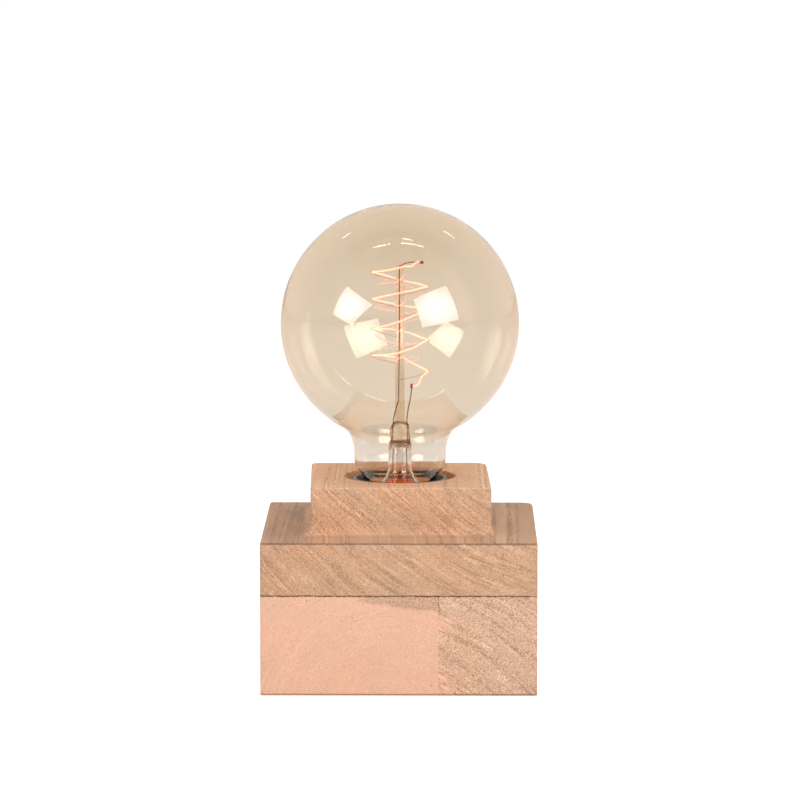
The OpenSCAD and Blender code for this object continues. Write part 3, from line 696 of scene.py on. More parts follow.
def shoulder_stain_and_top_light(shoulder):
    """Rough, greyer wood on the shoulder, darkest left of the plinth, with a dark broken line along its
    front edge, and brighter wood on the plinth. Its top face is made lighter still by painted light from
    above."""
    # the second colour is painted light for the plinth's top face
    plinth_colour, painted_top_light_colour = (0.68, 0.393, 0.235), (0.72, 0.455, 0.29)
    worn_colour, dark_edge_colour = (0.38, 0.25, 0.165), (0.19, 0.1, 0.06)

    def stain(graph, place, body, fleck):
        x, y, z = place
        height = z - shoulder / MM
        plinth = height.rise(1, 5)
        # the plinth's top face, which gets the painted light
        top = z.rise(TOP_Z / MM - 0.5, TOP_Z / MM - 0.2)
        level = abs(height).fall(0.3, 0.7)
        cloud = graph.noise(graph.vector(x, y * 0.4, z), 0.07, 3, 0.6).rise(0.35, 0.65)
        left = x.fall(-40, -34)
        worn = y.rise(-46, -30) * (left * 0.05 + 0.18) + cloud * (left * 0.38 + 0.1) + 0.36
        # a dark broken line along the shoulder's front edge
        edge = abs(height + 0.5).fall(0.18, 0.5) * y.fall(-53.6, -53.2)
        dark_edge_line = edge * graph.noise(graph.vector(x, y, z), 0.6, 3, 0.65).rise(0.22, 0.44)
        body = graph.mix(plinth, body, plinth_colour)
        # painted light: the plinth's top is made lighter, as if lit from above
        body = graph.mix(top, body, painted_top_light_colour)
        body = graph.mix(level * worn, body, worn_colour)
        body = graph.mix(dark_edge_line * 0.75, body, dark_edge_colour)
        return body, fleck * (1 - level.math("MAXIMUM", top * 0.8) * 0.7)
    return stain


def patch_stain(graph, place, body, fleck):
    """Grey patch under the glue line, with a wavy lower edge."""
    grey = (0.61, 0.355, 0.232)
    x, y, z = place
    depth = z * -1 + GLUE_Z / MM
    wave = (graph.noise(graph.vector(x, y * 0.2, z), 0.14, 2, 0.5) - 0.5) * 3
    reach = x * 0.1 + 4.4 + wave
    share = (depth - reach).fall(-0.8, 0.5) * (x + wave).rise(-18, -11)
    return graph.mix(share * 0.95, body, grey), fleck + share * 0.5


def spread_stain(colour):
    """Pale wood that spreads from the left block over the joint, high up and at the foot."""
    def stain(graph, place, body, fleck):
        x, y, z = place
        wave = (graph.noise(graph.vector(x, y * 0.2, z), 0.12, 3, 0.6) - 0.5) * 6
        past = x - JOINT_X / MM + wave
        upper = abs(z - 28).fall(1.5, 5) * past.fall(2, 7)
        lower = (past + z * 0.42).fall(4.5, 8)
        share = upper.math("MAXIMUM", lower)
        return graph.mix(share, body, colour), fleck * (1 - share * 0.6)
    return stain


def metal(name, colour, roughness, scratch=0.3, tarnish=None, turned=False):
    """Metal with fine scratches, round the Z axis if it was turned, and clouds of tarnish."""
    graph = Graph(name)
    spot = graph.place()
    x, y, z = graph.parts(spot)
    if turned:
        radius = (x * x + y * y) ** 0.5
        grain = graph.noise(graph.vector(radius * 9, y.math("ARCTAN2", x) * 0.7, z * 9), 1.0, 3, 0.6)
    else:
        grain = graph.noise(spot * Vector((0.8, 6, 6)), 1.2, 3, 0.6)
    cloud = graph.noise(spot, 0.5, 4, 0.6)
    stain = cloud.rise(0.45, 0.75)
    shown = graph.mix(stain * 0.7, colour, tarnish or shade(colour, 0.7))
    shown = graph.mix(grain.rise(0.45, 0.7) * 0.25, shown, shade(colour, 0.75))
    graph.set(Base_Color=shown, Metallic=1.0)
    graph.set(Roughness=roughness + stain * 0.16 + grain * 0.12)
    return graph.bump(grain + stain * 0.3, 0.02 * MM, scratch).material


def moulded(name, colour, roughness, grain_scale=2.0, relief=0.3, gloss=0.5):
    """Moulded plastic, ceramic or cement: slightly mottled and pitted."""
    graph = Graph(name)
    spot = graph.place()
    mottle = graph.noise(spot, 0.4, 4, 0.6)
    grain = graph.noise(spot, grain_scale, 3, 0.6)
    shown = graph.mix(mottle.rise(0.4, 0.7) * 0.5, colour, shade(colour, 0.72))
    shown = graph.mix(grain.rise(0.55, 0.75) * 0.3, shown, shade(colour, 1.35))
    graph.set(Base_Color=shown, Roughness=mottle * 0.12 + roughness, Specular_IOR_Level=gloss)
    return graph.bump(grain, 0.03 * MM, relief).material


def felt():
    """Pressed wool felt."""
    graph = Graph("felt")
    spot = graph.place()
    hair = graph.noise(spot, 2.6, 6, 0.75, 1.5)
    patch = graph.noise(spot, 0.2, 3, 0.6)
    shown = graph.mix(hair.rise(0.35, 0.7), tone(58, 49, 42), tone(98, 86, 76))
    shown = graph.mix(patch.rise(0.4, 0.7) * 0.4, shown, tone(62, 52, 45))
    graph.set(Base_Color=shown, Roughness=0.95, Sheen_Weight=0.4, Sheen_Roughness=0.5)
    return graph.bump(hair, 0.25 * MM, 0.8).material


def glass(name, tint, passed, roughness=0.0, ior=1.5):
    """Glass, with a tint that may vary over it. Light for what stands behind it goes straight through,
    coloured by passed."""
    graph = Graph(name)
    graph.set(Base_Color=tint(graph) if callable(tint) else tint)
    graph.set(Roughness=roughness, IOR=ior, Transmission_Weight=1.0)
    shadow, diffuse = graph.rays("Is Shadow Ray", "Is Diffuse Ray")
    clear = graph.node("ShaderNodeBsdfTransparent", {}, {"Color": passed})
    graph.show(shadow.math("MAXIMUM", diffuse), Value(graph, graph.shader.outputs[0]), clear)
    return graph


COPPER = (0.7, 0.3, 0.11)


def in_cap(graph):
    """1 where the glass stands in the cap, and the coppery cement shows behind it."""
    return graph.height().fall(CAP_RIM / MM - 0.35, CAP_RIM / MM + 0.05)


def back_with_copper(graph):
    """Lets coppery cement show as a dull metal on the glass that stands in the cap."""
    seat = in_cap(graph)
    mottle = graph.noise(graph.place(), 0.9, 3, 0.6)
    return graph.set(Metallic=seat * 0.95, Roughness=seat * (mottle * 0.3 + 0.25))


def envelope_glass(bulb):
    """Amber coating that ends at the neck, clear glass below it, and copper where it stands in the cap."""
    clear = (0.98, 0.96, 0.93)
    browner, yellower = (0.985, 0.98, 0.975), (0.995, 0.985, 0.95)

    def tint(graph):
        z = graph.height()
        coated = z.rise(CAP_RIM / MM + 14, CAP_RIM / MM + 22)
        crown = z.rise(GLOBE_TOP / MM - 45, GLOBE_TOP / MM - 5)
        cloud = graph.noise(graph.place(), 0.02, 2, 0.5)
        amber = graph.tint(cloud.rise(0.3, 0.7) * 0.6, tuple(bulb.globe_tint), browner)
        amber = graph.tint(crown, amber, yellower)
        neck = graph.mix(z.rise(CAP_RIM / MM + 3, CAP_RIM / MM + 9), clear, bulb.neck_tint)
        shown = graph.mix(coated, neck, amber)
        return graph.mix(in_cap(graph), shown, COPPER)
    one_face = [math.sqrt(c) for c in bulb.globe_tint]
    graph = back_with_copper(glass("amber_glass", tint, one_face))
    ripple = graph.noise(graph.place() * Vector((1, 1, 0.35)), 0.06, 2, 0.5)
    return graph.bump(ripple, 0.25 * MM, 0.35).material


def wire_metal(name, colour, hot=None, hot_zone=None):
    """Dull drawn wire. Between the two heights of hot_zone it may have another colour."""
    graph = Graph(name)
    scale = graph.noise(graph.place(), 1.8, 4, 0.6)
    shown = graph.mix(scale.rise(0.4, 0.7) * 0.6, colour, shade(colour, 0.55))
    if hot:
        z = graph.height()
        zone = z.rise(hot_zone[0], hot_zone[0] + 1) * z.fall(hot_zone[1], hot_zone[1] + 1)
        shown = graph.mix(zone, shown, hot)
    graph.set(Base_Color=shown, Metallic=0.85, Roughness=0.38 + scale * 0.2)
    return graph.bump(scale, 0.02 * MM, 0.4).material


def filament_glow(bulb):
    """Glowing wire, of another colour where it turns round its hooks."""
    graph = Graph("filament")
    spot = graph.place()
    uneven = graph.noise(spot, 0.5, 2, 0.5)
    cool = abs(graph.parts(spot)[0]).rise(10.2, 11.6)
    glow = graph.mix(cool * 0.5, tuple(bulb.filament_colour), (0.9, 0.22, 0.08))
    glow = graph.mix(uneven.rise(0.4, 0.7) * 0.3, glow, (1.0, 0.17, 0.08))
    graph.set(Base_Color=tone(90, 60, 40), Roughness=0.6, Metallic=0.3)
    graph.set(Emission_Color=glow, Emission_Strength=bulb.filament_strength)
    graph.material.cycles.emission_sampling = "NONE"
    return graph.material


# ---------------------------------------------------------------- wooden block


def well_tool(radius):
    """Shape that is cut out for the lampholder, the threaded tube and the wiring recess."""
    tube_hole = 5.3 * MM
    recess = 20 * MM
    past = 5 * MM
    flare = 0.9 * MM
    return spin_round("well_tool", [
        (0, -past), (recess, -past), (recess, NUT_SEAT), (tube_hole, NUT_SEAT),
        (tube_hole, WELL_FLOOR), (radius, WELL_FLOOR), (radius, TOP_Z - 0.8 * MM),
        (radius + 0.25 * MM, TOP_Z - 0.25 * MM), (radius + flare, TOP_Z + 0.05 * MM),
        (radius + flare, TOP_Z + past), (0, TOP_Z + past),
    ], steps=96)


def bevel_edges(piece, radius, segments, test):
    """Rounds the edges that pass the test."""
    select(piece, "EDGE", test)
    bpy.ops.mesh.bevel(offset=radius, segments=segments, profile=0.5, affect="EDGES")


def is_upright(edge, side):
    """True for an edge of an upright corner, at the front for a side of -1 and at the back for 1."""
    a, b = (v.co for v in edge.verts)
    return abs(a.z - b.z) > SLACK and (a.y + b.y) * side > 0


def on_side(edge, side):
    """True for an edge on the left for a side of -1 and on the right for 1."""
    a, b = (v.co for v in edge.verts)
    return (a.x + b.x) * side > 0


def on_joint(edge):
    """True for an edge on the glue joint between the two lower blocks."""
    return all(abs(v.co.x - JOINT_X) < SLACK for v in edge.verts)


def is_rim(edge, height, facing):
    """True for an edge at a height where an upright side meets a flat face that faces up or down."""
    if any(abs(v.co.z - height) > SLACK for v in edge.verts):
        return False
    slopes = [face.normal.z for face in edge.link_faces]
    return any(abs(s) < 0.5 for s in slopes) and any(s * facing > 0.9 for s in slopes)


class LAMP_OT_upper_block(bpy.types.Operator):
    """Models the upper layer: shoulder, coves and plinth, bored for the lampholder"""
    bl_idname = "lamp.upper_block"
    bl_label = "Upper Block"

    def execute(self, context):
        wood_set = context.scene.lamp_wood
        half = wood_set.plinth_width / 2
        shoulder = GLUE_Z + wood_set.shoulder_height
        coves = (wood_set.cove_left, wood_set.cove_right, wood_set.cove_front, wood_set.cove_back)
        rise = max(coves)
        steps = 8
        lowest = Vector((-BASE_HALF, -BASE_HALF, GLUE_Z))
        piece = add_block("upper_block", lowest, Vector((BASE_HALF, BASE_HALF, shoulder)))
        select(piece, "FACE", lambda f: f.normal.z > 0.9)
        box = (-BASE_HALF, BASE_HALF, -BASE_HALF, BASE_HALF, shoulder)
        for i in range(steps + 1):
            turn = math.radians(90 * i / steps)
            reach = [half + cove * (1 - math.sin(turn)) for cove in coves]
            ring = (-reach[0], reach[1], -reach[2], reach[3], shoulder + rise * (1 - math.cos(turn)))
            extrude_to(box, ring)
            box = ring
        extrude_to(box, (*box[:4], TOP_Z))
        select(piece, "VERT", lambda v: max(abs(v.co.x), abs(v.co.y)) < BASE_HALF - 5 * MM)
        bpy.ops.transform.rotate(value=-wood_set.plinth_turn, orient_axis="Z", center_override=(0, 0, 0))
        bevel_edges(piece, wood_set.front_corner, 3, lambda e: is_upright(e, -1))
        bevel_edges(piece, wood_set.back_left_corner, 4, lambda e: is_upright(e, 1) and on_side(e, -1))
        bevel_edges(piece, wood_set.back_right_corner, 6, lambda e: is_upright(e, 1) and on_side(e, 1))
        bevel_edges(piece, wood_set.rim_softness, 3, lambda e: is_rim(e, TOP_Z, 1))
        bevel_edges(piece, wood_set.rim_softness, 3, lambda e: is_rim(e, shoulder, 1))
        bevel_edges(piece, 0.25 * MM, 1, lambda e: is_rim(e, GLUE_Z, -1))
        clear_selection()
        cut_away(piece, well_tool(wood_set.well_radius))
        smooth(piece, 40)
        material = wood(
            "upper_wood", tuple(wood_set.upper_colour), pith=(98, 182), ring=5.2, seed=1,
            fleck=0.68, streak=0.75, stain=shoulder_stain_and_top_light(shoulder))
        stand_for(piece, "base", material, "wood_upper", "top_block")
        return {"FINISHED"}


def lower_block(name, x_low, x_high, wood_set):
    """One block of the lower layer, with its outer edges sanded and the well cut out."""
    piece = add_block(
        name, Vector((x_low, -BASE_HALF, FOOT_Z)), Vector((x_high, BASE_HALF, GLUE_Z)))

    def outside(edge):
        return all(abs(abs(v.co.x) - BASE_HALF) < SLACK for v in edge.verts)

    back = wood_set.back_left_corner if x_low < 0 else wood_set.back_right_corner
    bevel_edges(piece, 0.9 * MM, 3, lambda e: outside(e) and is_upright(e, -1))
    bevel_edges(piece, back, 5, lambda e: outside(e) and is_upright(e, 1))
    bevel_edges(piece, 0.3 * MM, 2, lambda e: is_rim(e, FOOT_Z, -1) and not on_joint(e))
    bevel_edges(piece, 0.2 * MM, 1, lambda e: is_rim(e, GLUE_Z, 1) and not on_joint(e))
    clear_selection()
    cut_away(piece, well_tool(wood_set.well_radius))
    cut_away(piece, felt_tool())
    return piece


def felt_tool():
    """Shape of the rebate that the felt lies in, a square with its corners cut."""
    gap = 0.2 * MM
    half = FELT_HALF + gap
    corner = 12 * MM
    past = 5 * MM
    tool = add_block("felt_tool", Vector((-half, -half, -past)), Vector((half, half, FELT_TOP)))
    legs = corner / math.sqrt(2) * 2 - gap * (2 - math.sqrt(2))
    select(tool, "EDGE", lambda e: abs(e.verts[0].co.z - e.verts[1].co.z) > SLACK)
    bpy.ops.mesh.bevel(offset=legs / 2, segments=1, affect="EDGES")
    clear_selection()
    return tool


class LAMP_OT_lower_blocks(bpy.types.Operator):
    """Models the two blocks of the lower layer, the left one with the cable hole"""
    bl_idname = "lamp.lower_blocks"
    bl_label = "Lower Blocks"

    def execute(self, context):
        wood_set = context.scene.lamp_wood
        left = lower_block("lower_left_block", -BASE_HALF, JOINT_X, wood_set)
        seat = 1.5 * MM
        flange = high("cable_bush").x + 0.05 * MM
        barrel = 5.05 * MM
        past = 6 * MM
        inner_end = 15 * MM
        hole = draw_line("cable_tool", [
            Vector((0, y, CABLE_Z + r)) for r, y in [
                (0, inner_end), (barrel, inner_end), (barrel, BASE_HALF - seat),
                (flange, BASE_HALF - seat), (flange, BASE_HALF + past), (0, BASE_HALF + past)]])
        spin_closed(48, (0, 0, CABLE_Z), (0, 1, 0))
        clear_selection()
        cut_away(left, hole)
        smooth(left, 40)
        pale = tuple(wood_set.lower_left_colour)
        material = wood(
            "lower_left_wood", pale, pith=(-3, -10), ring=6.5, seed=2,
            fleck=0.3, patch=0.35, streak=0.15, stain=patch_stain)
        stand_for(left, "base", material, "wood_lower_left", "lower_block_left")
        right = lower_block("lower_right_block", JOINT_X, BASE_HALF, wood_set)
        smooth(right, 40)
        material = wood(
            "lower_right_wood", tuple(wood_set.lower_right_colour), pith=(-55, -105), ring=5.5, seed=3,
            fleck=0.95, patch=0.8, streak=0.8, stain=spread_stain(shade(pale, 0.99)))
        stand_for(right, "base", material, "wood_lower_right", "lower_block_right")
        return {"FINISHED"}


# ---------------------------------------------------------------- fittings


class LAMP_OT_fittings(bpy.types.Operator):
    """Dresses the felt, the cable bush and the fixing of the lampholder"""
    bl_idname = "lamp.fittings"
    bl_label = "Fittings"

    def execute(self, context):
        zinc = metal("zinc_steel", tone(196, 200, 206), 0.3, 0.4, tone(150, 150, 140))
        dress_node("felt_pad", felt())
        dress_node("cable_bush", moulded("bush_plastic", tone(44, 40, 37), 0.42))
        for node in ("fixing_nipple", "nipple_nut", "nut_washer", "collar_set_screw"):
            dress_node(node, zinc)
        return {"FINISHED"}


class LAMP_OT_lampholder(bpy.types.Operator):
    """Dresses the lampholder and smooths the thread of its screw shell"""
    bl_idname = "lamp.lampholder"
    bl_label = "Lampholder"

    def execute(self, context):
        nickel = metal("nickel_shell", tone(114, 106, 110), 0.36, 0.3, tone(86, 78, 76), turned=True)
        brass = metal("brass", tone(212, 168, 92), 0.28, 0.3, tone(150, 106, 58))
        dress_node("holder_dome", nickel)
        dress_node("holder_sleeve", nickel)
        dress_node("insulating_sleeve", moulded("black_insulator", tone(22, 19, 18), 0.6, 1.2, 0.3, 0.15))
        dress_node("contact_block", moulded("ceramic", tone(232, 228, 218), 0.12, 1.0, 0.15))
        for node in ("centre_contact", "contact_rivets", "terminal_plates"):
            dress_node(node, brass)
        dress_node("terminal_screws", metal("screw_steel", tone(200, 200, 198), 0.3, 0.4))
        shell = copy_node("holder_screw_shell", "threaded_shell")
        apply_modifier(shell, "SUBSURF", levels=1, render_levels=1)
        smooth(shell, 60)
        stand_for(shell, "base", brass, "brass", "holder_screw_shell")
        return {"FINISHED"}


# ---------------------------------------------------------------- bulb


class LAMP_OT_cap(bpy.types.Operator):
    """Dresses the bulb's cap and smooths its rolled thread"""
    bl_idname = "lamp.cap"
    bl_label = "Cap"

    def execute(self, context):
        shell = copy_node("cap_shell", "screw_cap")
        apply_modifier(shell, "SUBSURF", levels=1, render_levels=1)
        smooth(shell, 60)
        worn = metal("cap_metal", tone(196, 152, 112), 0.3, 0.3, tone(150, 98, 62), turned=True)
        stand_for(shell, "bulb", worn, "cap_metal", "cap_shell")
        dress_node("cap_contact", metal("solder", tone(188, 188, 190), 0.34, 0.8, tone(130, 128, 126)))
        dress_node("cap_insulator", moulded("black_glass", tone(24, 22, 22), 0.06, 0.7, 0.1))
        dress_node("cap_cement", moulded("cement", tone(158, 96, 58), 0.75, 1.4, 0.8, 0.2))
        return {"FINISHED"}


def envelope_profile(bulb, inset):
    """Wall of the glass from the top of the globe to the neck's foot, drawn in by a distance."""
    globe = (0, GLOBE_TOP - bulb.globe_radius)
    neck = bulb.neck_radius
    cove_r, tail_r, tail_turn = 9 * MM, 17 * MM, 22
    slant = math.radians(tail_turn)
    tail_x = neck + tail_r
    cove_x = tail_x - (tail_r - cove_r) * math.cos(slant)
    drop = math.sqrt((bulb.globe_radius + cove_r) ** 2 - cove_x ** 2)
    tail_z = globe[1] - drop - (tail_r - cove_r) * math.sin(slant)
    meet = math.degrees(math.atan2(-drop, cove_x))
    bow_r, foot_r, bow_turn, tilt = 14 * MM, 5 * MM, 18, 42
    bow = (neck - bow_r, CAP_RIM + 10.4 * MM)
    slant = math.radians(bow_turn)
    edge = (bow[0] + (bow_r - foot_r) * math.cos(slant), bow[1] - (bow_r - foot_r) * math.sin(slant))
    shoulder = arc(edge, foot_r - inset, -bow_turn, -tilt, 8)
    last = shoulder[-1]
    foot = (last[0] - (last[1] - NECK_FOOT) * math.tan(math.radians(tilt)), NECK_FOOT)
    return [
        *arc(globe, bulb.globe_radius - inset, 90, meet, 72),
        *arc((cove_x, globe[1] - drop), cove_r + inset, 180 + meet, 180 - tail_turn, 16)[1:],
        *arc((tail_x, tail_z), tail_r + inset, 180 - tail_turn, 180, 10)[1:],
        *arc(bow, bow_r - inset, 0, -bow_turn, 8), *shoulder[1:], foot,
    ]


class LAMP_OT_envelope(bpy.types.Operator):
    """Models the glass envelope: globe, neck and the foot that stands in the cap"""
    bl_idname = "lamp.envelope"
    bl_label = "Glass Envelope"

    def execute(self, context):
        bulb = context.scene.lamp_bulb
        outer = envelope_profile(bulb, 0)
        inner = envelope_profile(bulb, bulb.glass_thickness)
        piece = spin_round("glass_globe", [*outer, *reversed(inner)], steps=160)
        smooth(piece, 40)
        stand_for(piece, "bulb", envelope_glass(bulb), "amber_glass", "glass_envelope")
        return {"FINISHED"}


class LAMP_OT_stem(bpy.types.Operator):
    """Models the stem: a flared glass tube, pressed flat round the wires at the top"""
    bl_idname = "lamp.stem"
    bl_label = "Stem"

    def execute(self, context):
        tube_r = 4.6 * MM
        tube_top = PRESS_TOP - 9.2 * MM
        wall = 0.8 * MM
        flare_r = 6.5 * MM
        flare_top = 7.3 * MM
        skirt = (10.2 * MM, 0.05 * MM)
        flare = [skirt]
        for r, z in arc((tube_r + flare_r, NECK_FOOT + flare_top), flare_r, 245, 180, 8):
            flare.append((r, z - NECK_FOOT))
        outline = [(r, r, NECK_FOOT + z) for r, z in flare]
        outline += [(tube_r, tube_r, tube_top - 2 * MM), (tube_r, tube_r * 0.96, tube_top)]
        outline += [
            (4.1 * MM, 3.2 * MM, tube_top + 0.9 * MM), (3.75 * MM, 2.3 * MM, tube_top + 1.8 * MM),
            (3.95 * MM, 2.2 * MM, tube_top + 3.4 * MM), (3.8 * MM, 2.25 * MM, tube_top + 5.4 * MM),
            (3.9 * MM, 2.15 * MM, PRESS_TOP - 2.2 * MM), (3.2 * MM, 1.9 * MM, PRESS_TOP - 0.8 * MM),
            (2.0 * MM, 1.3 * MM, PRESS_TOP + 0.1 * MM),
        ]
        oval_from, wider = 3 * MM, 0.2 * MM
        hollow = []
        for r, z in flare:
            half_width = r + (wider if z > oval_from else 0) - wall
            hollow.append((half_width, r - wall, NECK_FOOT + z))
        hollow += [(tube_r - wall, tube_r - wall, tube_top - 2 * MM),
                   (tube_r - 1.6 * wall, tube_r - 1.6 * wall, tube_top - 0.6 * MM),
                   (0.9 * MM, 0.9 * MM, tube_top + 0.1 * MM)]
        piece = self.grow("glass_stem", outline)
        cavity = self.grow("stem_cavity", hollow, 0.4 * MM)
        cut_away(piece, cavity)
        apply_modifier(piece, "SUBSURF", levels=1, render_levels=1)
        self.crinkle(piece, tube_top)
        smooth(piece, 60)
        graph = back_with_copper(glass("stem_glass", self.pressed_tint, (0.95, 0.92, 0.88)))
        pressed = graph.height().rise(tube_top / MM - 0.5, tube_top / MM + 1)
        lumps = graph.noise(graph.place(), 0.7, 3, 0.6) * pressed
        material = graph.bump(lumps, 0.6 * MM, 0.5).material
        stand_for(piece, "bulb", material, "clear_glass", "stem")
        tube = glass("tube_glass", (0.95, 0.93, 0.9), (0.97, 0.96, 0.94))
        dress_node("exhaust_tube", tube.bump(tube.noise(tube.place(), 0.4, 2), 0.1 * MM, 0.3).material)
        return {"FINISHED"}

    @staticmethod
    def pressed_tint(graph):
        """Clear tube and amber press, with spotted copper colour in a band where the wires go into the
        press, and along the press's sides.
        """
        x, y, z = graph.parts(graph.place())
        press = PRESS_TOP / MM
        pressed = z.rise(press - 9.6, press - 8)
        copper_band = abs(z - press + 7.6).fall(0.4, 1.8)
        spots = graph.noise(graph.place(), 0.9, 3, 0.65).rise(0.44, 0.6)
        edge = abs(x).rise(2.6, 3.8) * pressed
        shown = graph.mix(pressed, (0.97, 0.955, 0.93), (0.9, 0.83, 0.7))
        copper = copper_band.math("MAXIMUM", edge * 0.8) * spots
        shown = graph.mix(copper, shown, (0.62, 0.32, 0.16))
        return graph.mix(in_cap(graph), shown, COPPER)

    @staticmethod
    def grow(name, rings, overshoot=0.0):
        """A closed skin through rings given as half width, half depth and height. It may overshoot the
        first ring downwards."""
        a, b, z = rings[0]
        piece = add_ring(name, 1, 0, 48)
        bpy.ops.transform.resize(value=(a, b, 1), center_override=(0, 0, 0))
        bpy.ops.transform.translate(value=(0, 0, z - overshoot))
        bpy.ops.mesh.edge_face_add()
        box = (-a, a, -b, b, z - overshoot)
        for a, b, z in rings[0 if overshoot else 1:]:
            ring = (-a, a, -b, b, z)
            extrude_to(box, ring)
            box = ring
        bpy.ops.mesh.select_all(action="SELECT")
        bpy.ops.mesh.normals_make_consistent(inside=False)
        bpy.ops.object.mode_set(mode="OBJECT")
        return piece

    @staticmethod
    def crinkle(piece, tube_top):
        """Lumps that the pressing tongs leave in the soft glass."""
        depth, fineness = 0.55 * MM, 420
        for vertex in piece.data.vertices:
            if vertex.co.z > tube_top - 1 * MM:
                share = min(1, (vertex.co.z - tube_top + 1 * MM) / (2 * MM))
                vertex.co += noise.noise_vector(vertex.co * fineness) * depth * share


class LAMP_OT_support_rod(bpy.types.Operator):
    """Models the glass rod that carries the hooks, slightly uneven and melted round at the top"""
    bl_idname = "lamp.support_rod"
    bl_label = "Support Rod"

    def execute(self, context):
        foot_r = ROD_R
        tip_r = 1.5 * MM
        top = ROD_TOP - tip_r
        length = top - PRESS_TOP
        beads = 26
        side = []
        for i in range(beads + 1):
            share = i / beads
            swell = 0.05 * MM * math.sin(i * 2.4) * min(1, 6 * share)
            radius = foot_r + (tip_r - foot_r) * share + swell * (1 - share)
            side.append((radius, PRESS_TOP + length * share))
        side[-1] = (tip_r, top)
        piece = spin_round("glass_rod", [
            (0, PRESS_TOP), *side, *arc((0, top), tip_r, 0, 90, 8)[1:]], steps=40)
        smooth(piece, 60)
        graph = glass("rod_glass", self.shaded_tint, (0.95, 0.88, 0.8))
        material = graph.bump(graph.noise(graph.place(), 0.5, 2), 0.15 * MM, 0.35).material
        stand_for(piece, "bulb", material, "clear_glass", "support_rod")
        return {"FINISHED"}

    @staticmethod
    def shaded_tint(graph):
        """Glass that is darker and browner at the rod's foot than further up."""
        press = PRESS_TOP / MM
        return graph.mix(graph.height().rise(press + 16, press + 32), (0.77, 0.68, 0.53), (1.0, 0.92, 0.81))


# The filament's half turns: how far each hook stands above its even place, and how far each half turn
# sags, in millimetres
HALF_TURNS = 8
HOOK_RISE = (0, 0.4, 0.2, 0.8, 2.6, 0, 1.1, 0.4, -0.4)
SPIRAL_SAG = (0.3, 0.4, -0.5, 1.2, 0.5, -0.8, 1.1, -1.4, 0)
# The places where the lead wires pinch its ends
TOP_CLAMP = Vector((8.5 * MM, 0, CAP_RIM + 87.6 * MM))
LOW_CLAMP = Vector((4.7 * MM, -1.3 * MM, CAP_RIM + 38.3 * MM))


def spiral_point(s):
    """Point of the filament at half turn s: its plan is a lens with its points at the hooks. It is wound
    by hand, so each hook's height and each half turn's sag differ."""
    half = min(math.floor(s), HALF_TURNS)
    part = s - half
    side = 1 if half % 2 == 0 else -1
    reach = 11 * MM
    bow = 6 * MM
    drop = 11.1 * MM
    rise = HOOK_RISE[half] * (1 - part) + HOOK_RISE[min(half + 1, HALF_TURNS)] * part
    arch = math.sin(math.pi * part)
    kinks = noise.noise_vector(Vector((s * 6.3, 1.7, 4.1))) * 0.45 * MM * arch
    return kinks + Vector((
        side * reach * (1 - 2 * part),
        -side * bow * arch,
        SPIRAL_TOP - drop * s / 2 + (rise - SPIRAL_SAG[half] * arch) * MM))


def filament_route():
    """The filament's line from the upper clamp, round all the hooks, to the lower clamp."""
    first_ring = 5
    rings_per_half = 12
    lead_in = [(0, 0, 0), (-1.1, -0.6, 0.3), (-2.3, -1.9, -0.1), (-3.9, -3.6, -1.2)]
    lead_out = [(-1.1, -0.9, -0.9), (-2.2, -1.4, -1.9), (-2.9, -1.7, -3.3), (-3.5, -1.8, -4.7),
                (-4.4, -1.7, -5.6)]
    rings = range(first_ring, HALF_TURNS * rings_per_half + 1)
    last = spiral_point(HALF_TURNS)
    return smooth_route([
        *(TOP_CLAMP + Vector(p) * MM for p in lead_in),
        *(spiral_point(k / rings_per_half) for k in rings),
        *(last + Vector(p) * MM for p in lead_out),
        LOW_CLAMP], 3)


def coiled(route, radius, pitch, per_turn):
    """Points of a fine coil wound along a route."""
    points = []
    turn = 0.0
    side = Vector((0, 0, 1))
    for a, b in zip(route, route[1:]):
        along = (b - a).normalized()
        across = along.cross(side).normalized()
        above = across.cross(along)
        steps = max(1, round((b - a).length / pitch * per_turn))
        for i in range(steps):
            turn += (b - a).length / steps / pitch * math.tau
            middle = a.lerp(b, i / steps)
            points.append(middle + radius * (math.cos(turn) * across + math.sin(turn) * above))
    return points


class LAMP_OT_filament(bpy.types.Operator):
    """Winds the filament: a fine coil of wire, led in a spiral round the rod"""
    bl_idname = "lamp.filament"
    bl_label = "Filament"

    def execute(self, context):
        bulb = context.scene.lamp_bulb
        route = coiled(filament_route(), bulb.coil_radius, 0.28 * MM, 7)
        piece = add_wire("filament_coil", [route], 0.08 * MM, sides=4)
        smooth(piece, 180)
        stand_for(piece, "bulb", filament_glow(bulb), "filament", "filament")
        return {"FINISHED"}


def hook_route(s):
    """A hook's line: out of the rod, and up round the outside of the filament."""
    spot = spiral_point(s)
    out = Vector((math.copysign(1, spot.x), 0, 0))
    up = Vector((0, 0, 1))
    drop = 3.4 * MM
    grip = 0.52 * MM
    foot = Vector((0, 0, spot.z - drop))
    elbow = foot + Vector((0.6 * spot.x, 0, 0.35 * drop))
    turns = [math.radians(a) for a in range(-60, 111, 34)]
    loop = [spot + grip * (math.cos(a) * out + math.sin(a) * up) for a in turns]
    rise = []
    for k in range(8):
        t = k / 8
        rise.append((1 - t) ** 2 * foot + 2 * t * (1 - t) * elbow + t * t * loop[0])
    return smooth_route([*rise, *loop], 2)


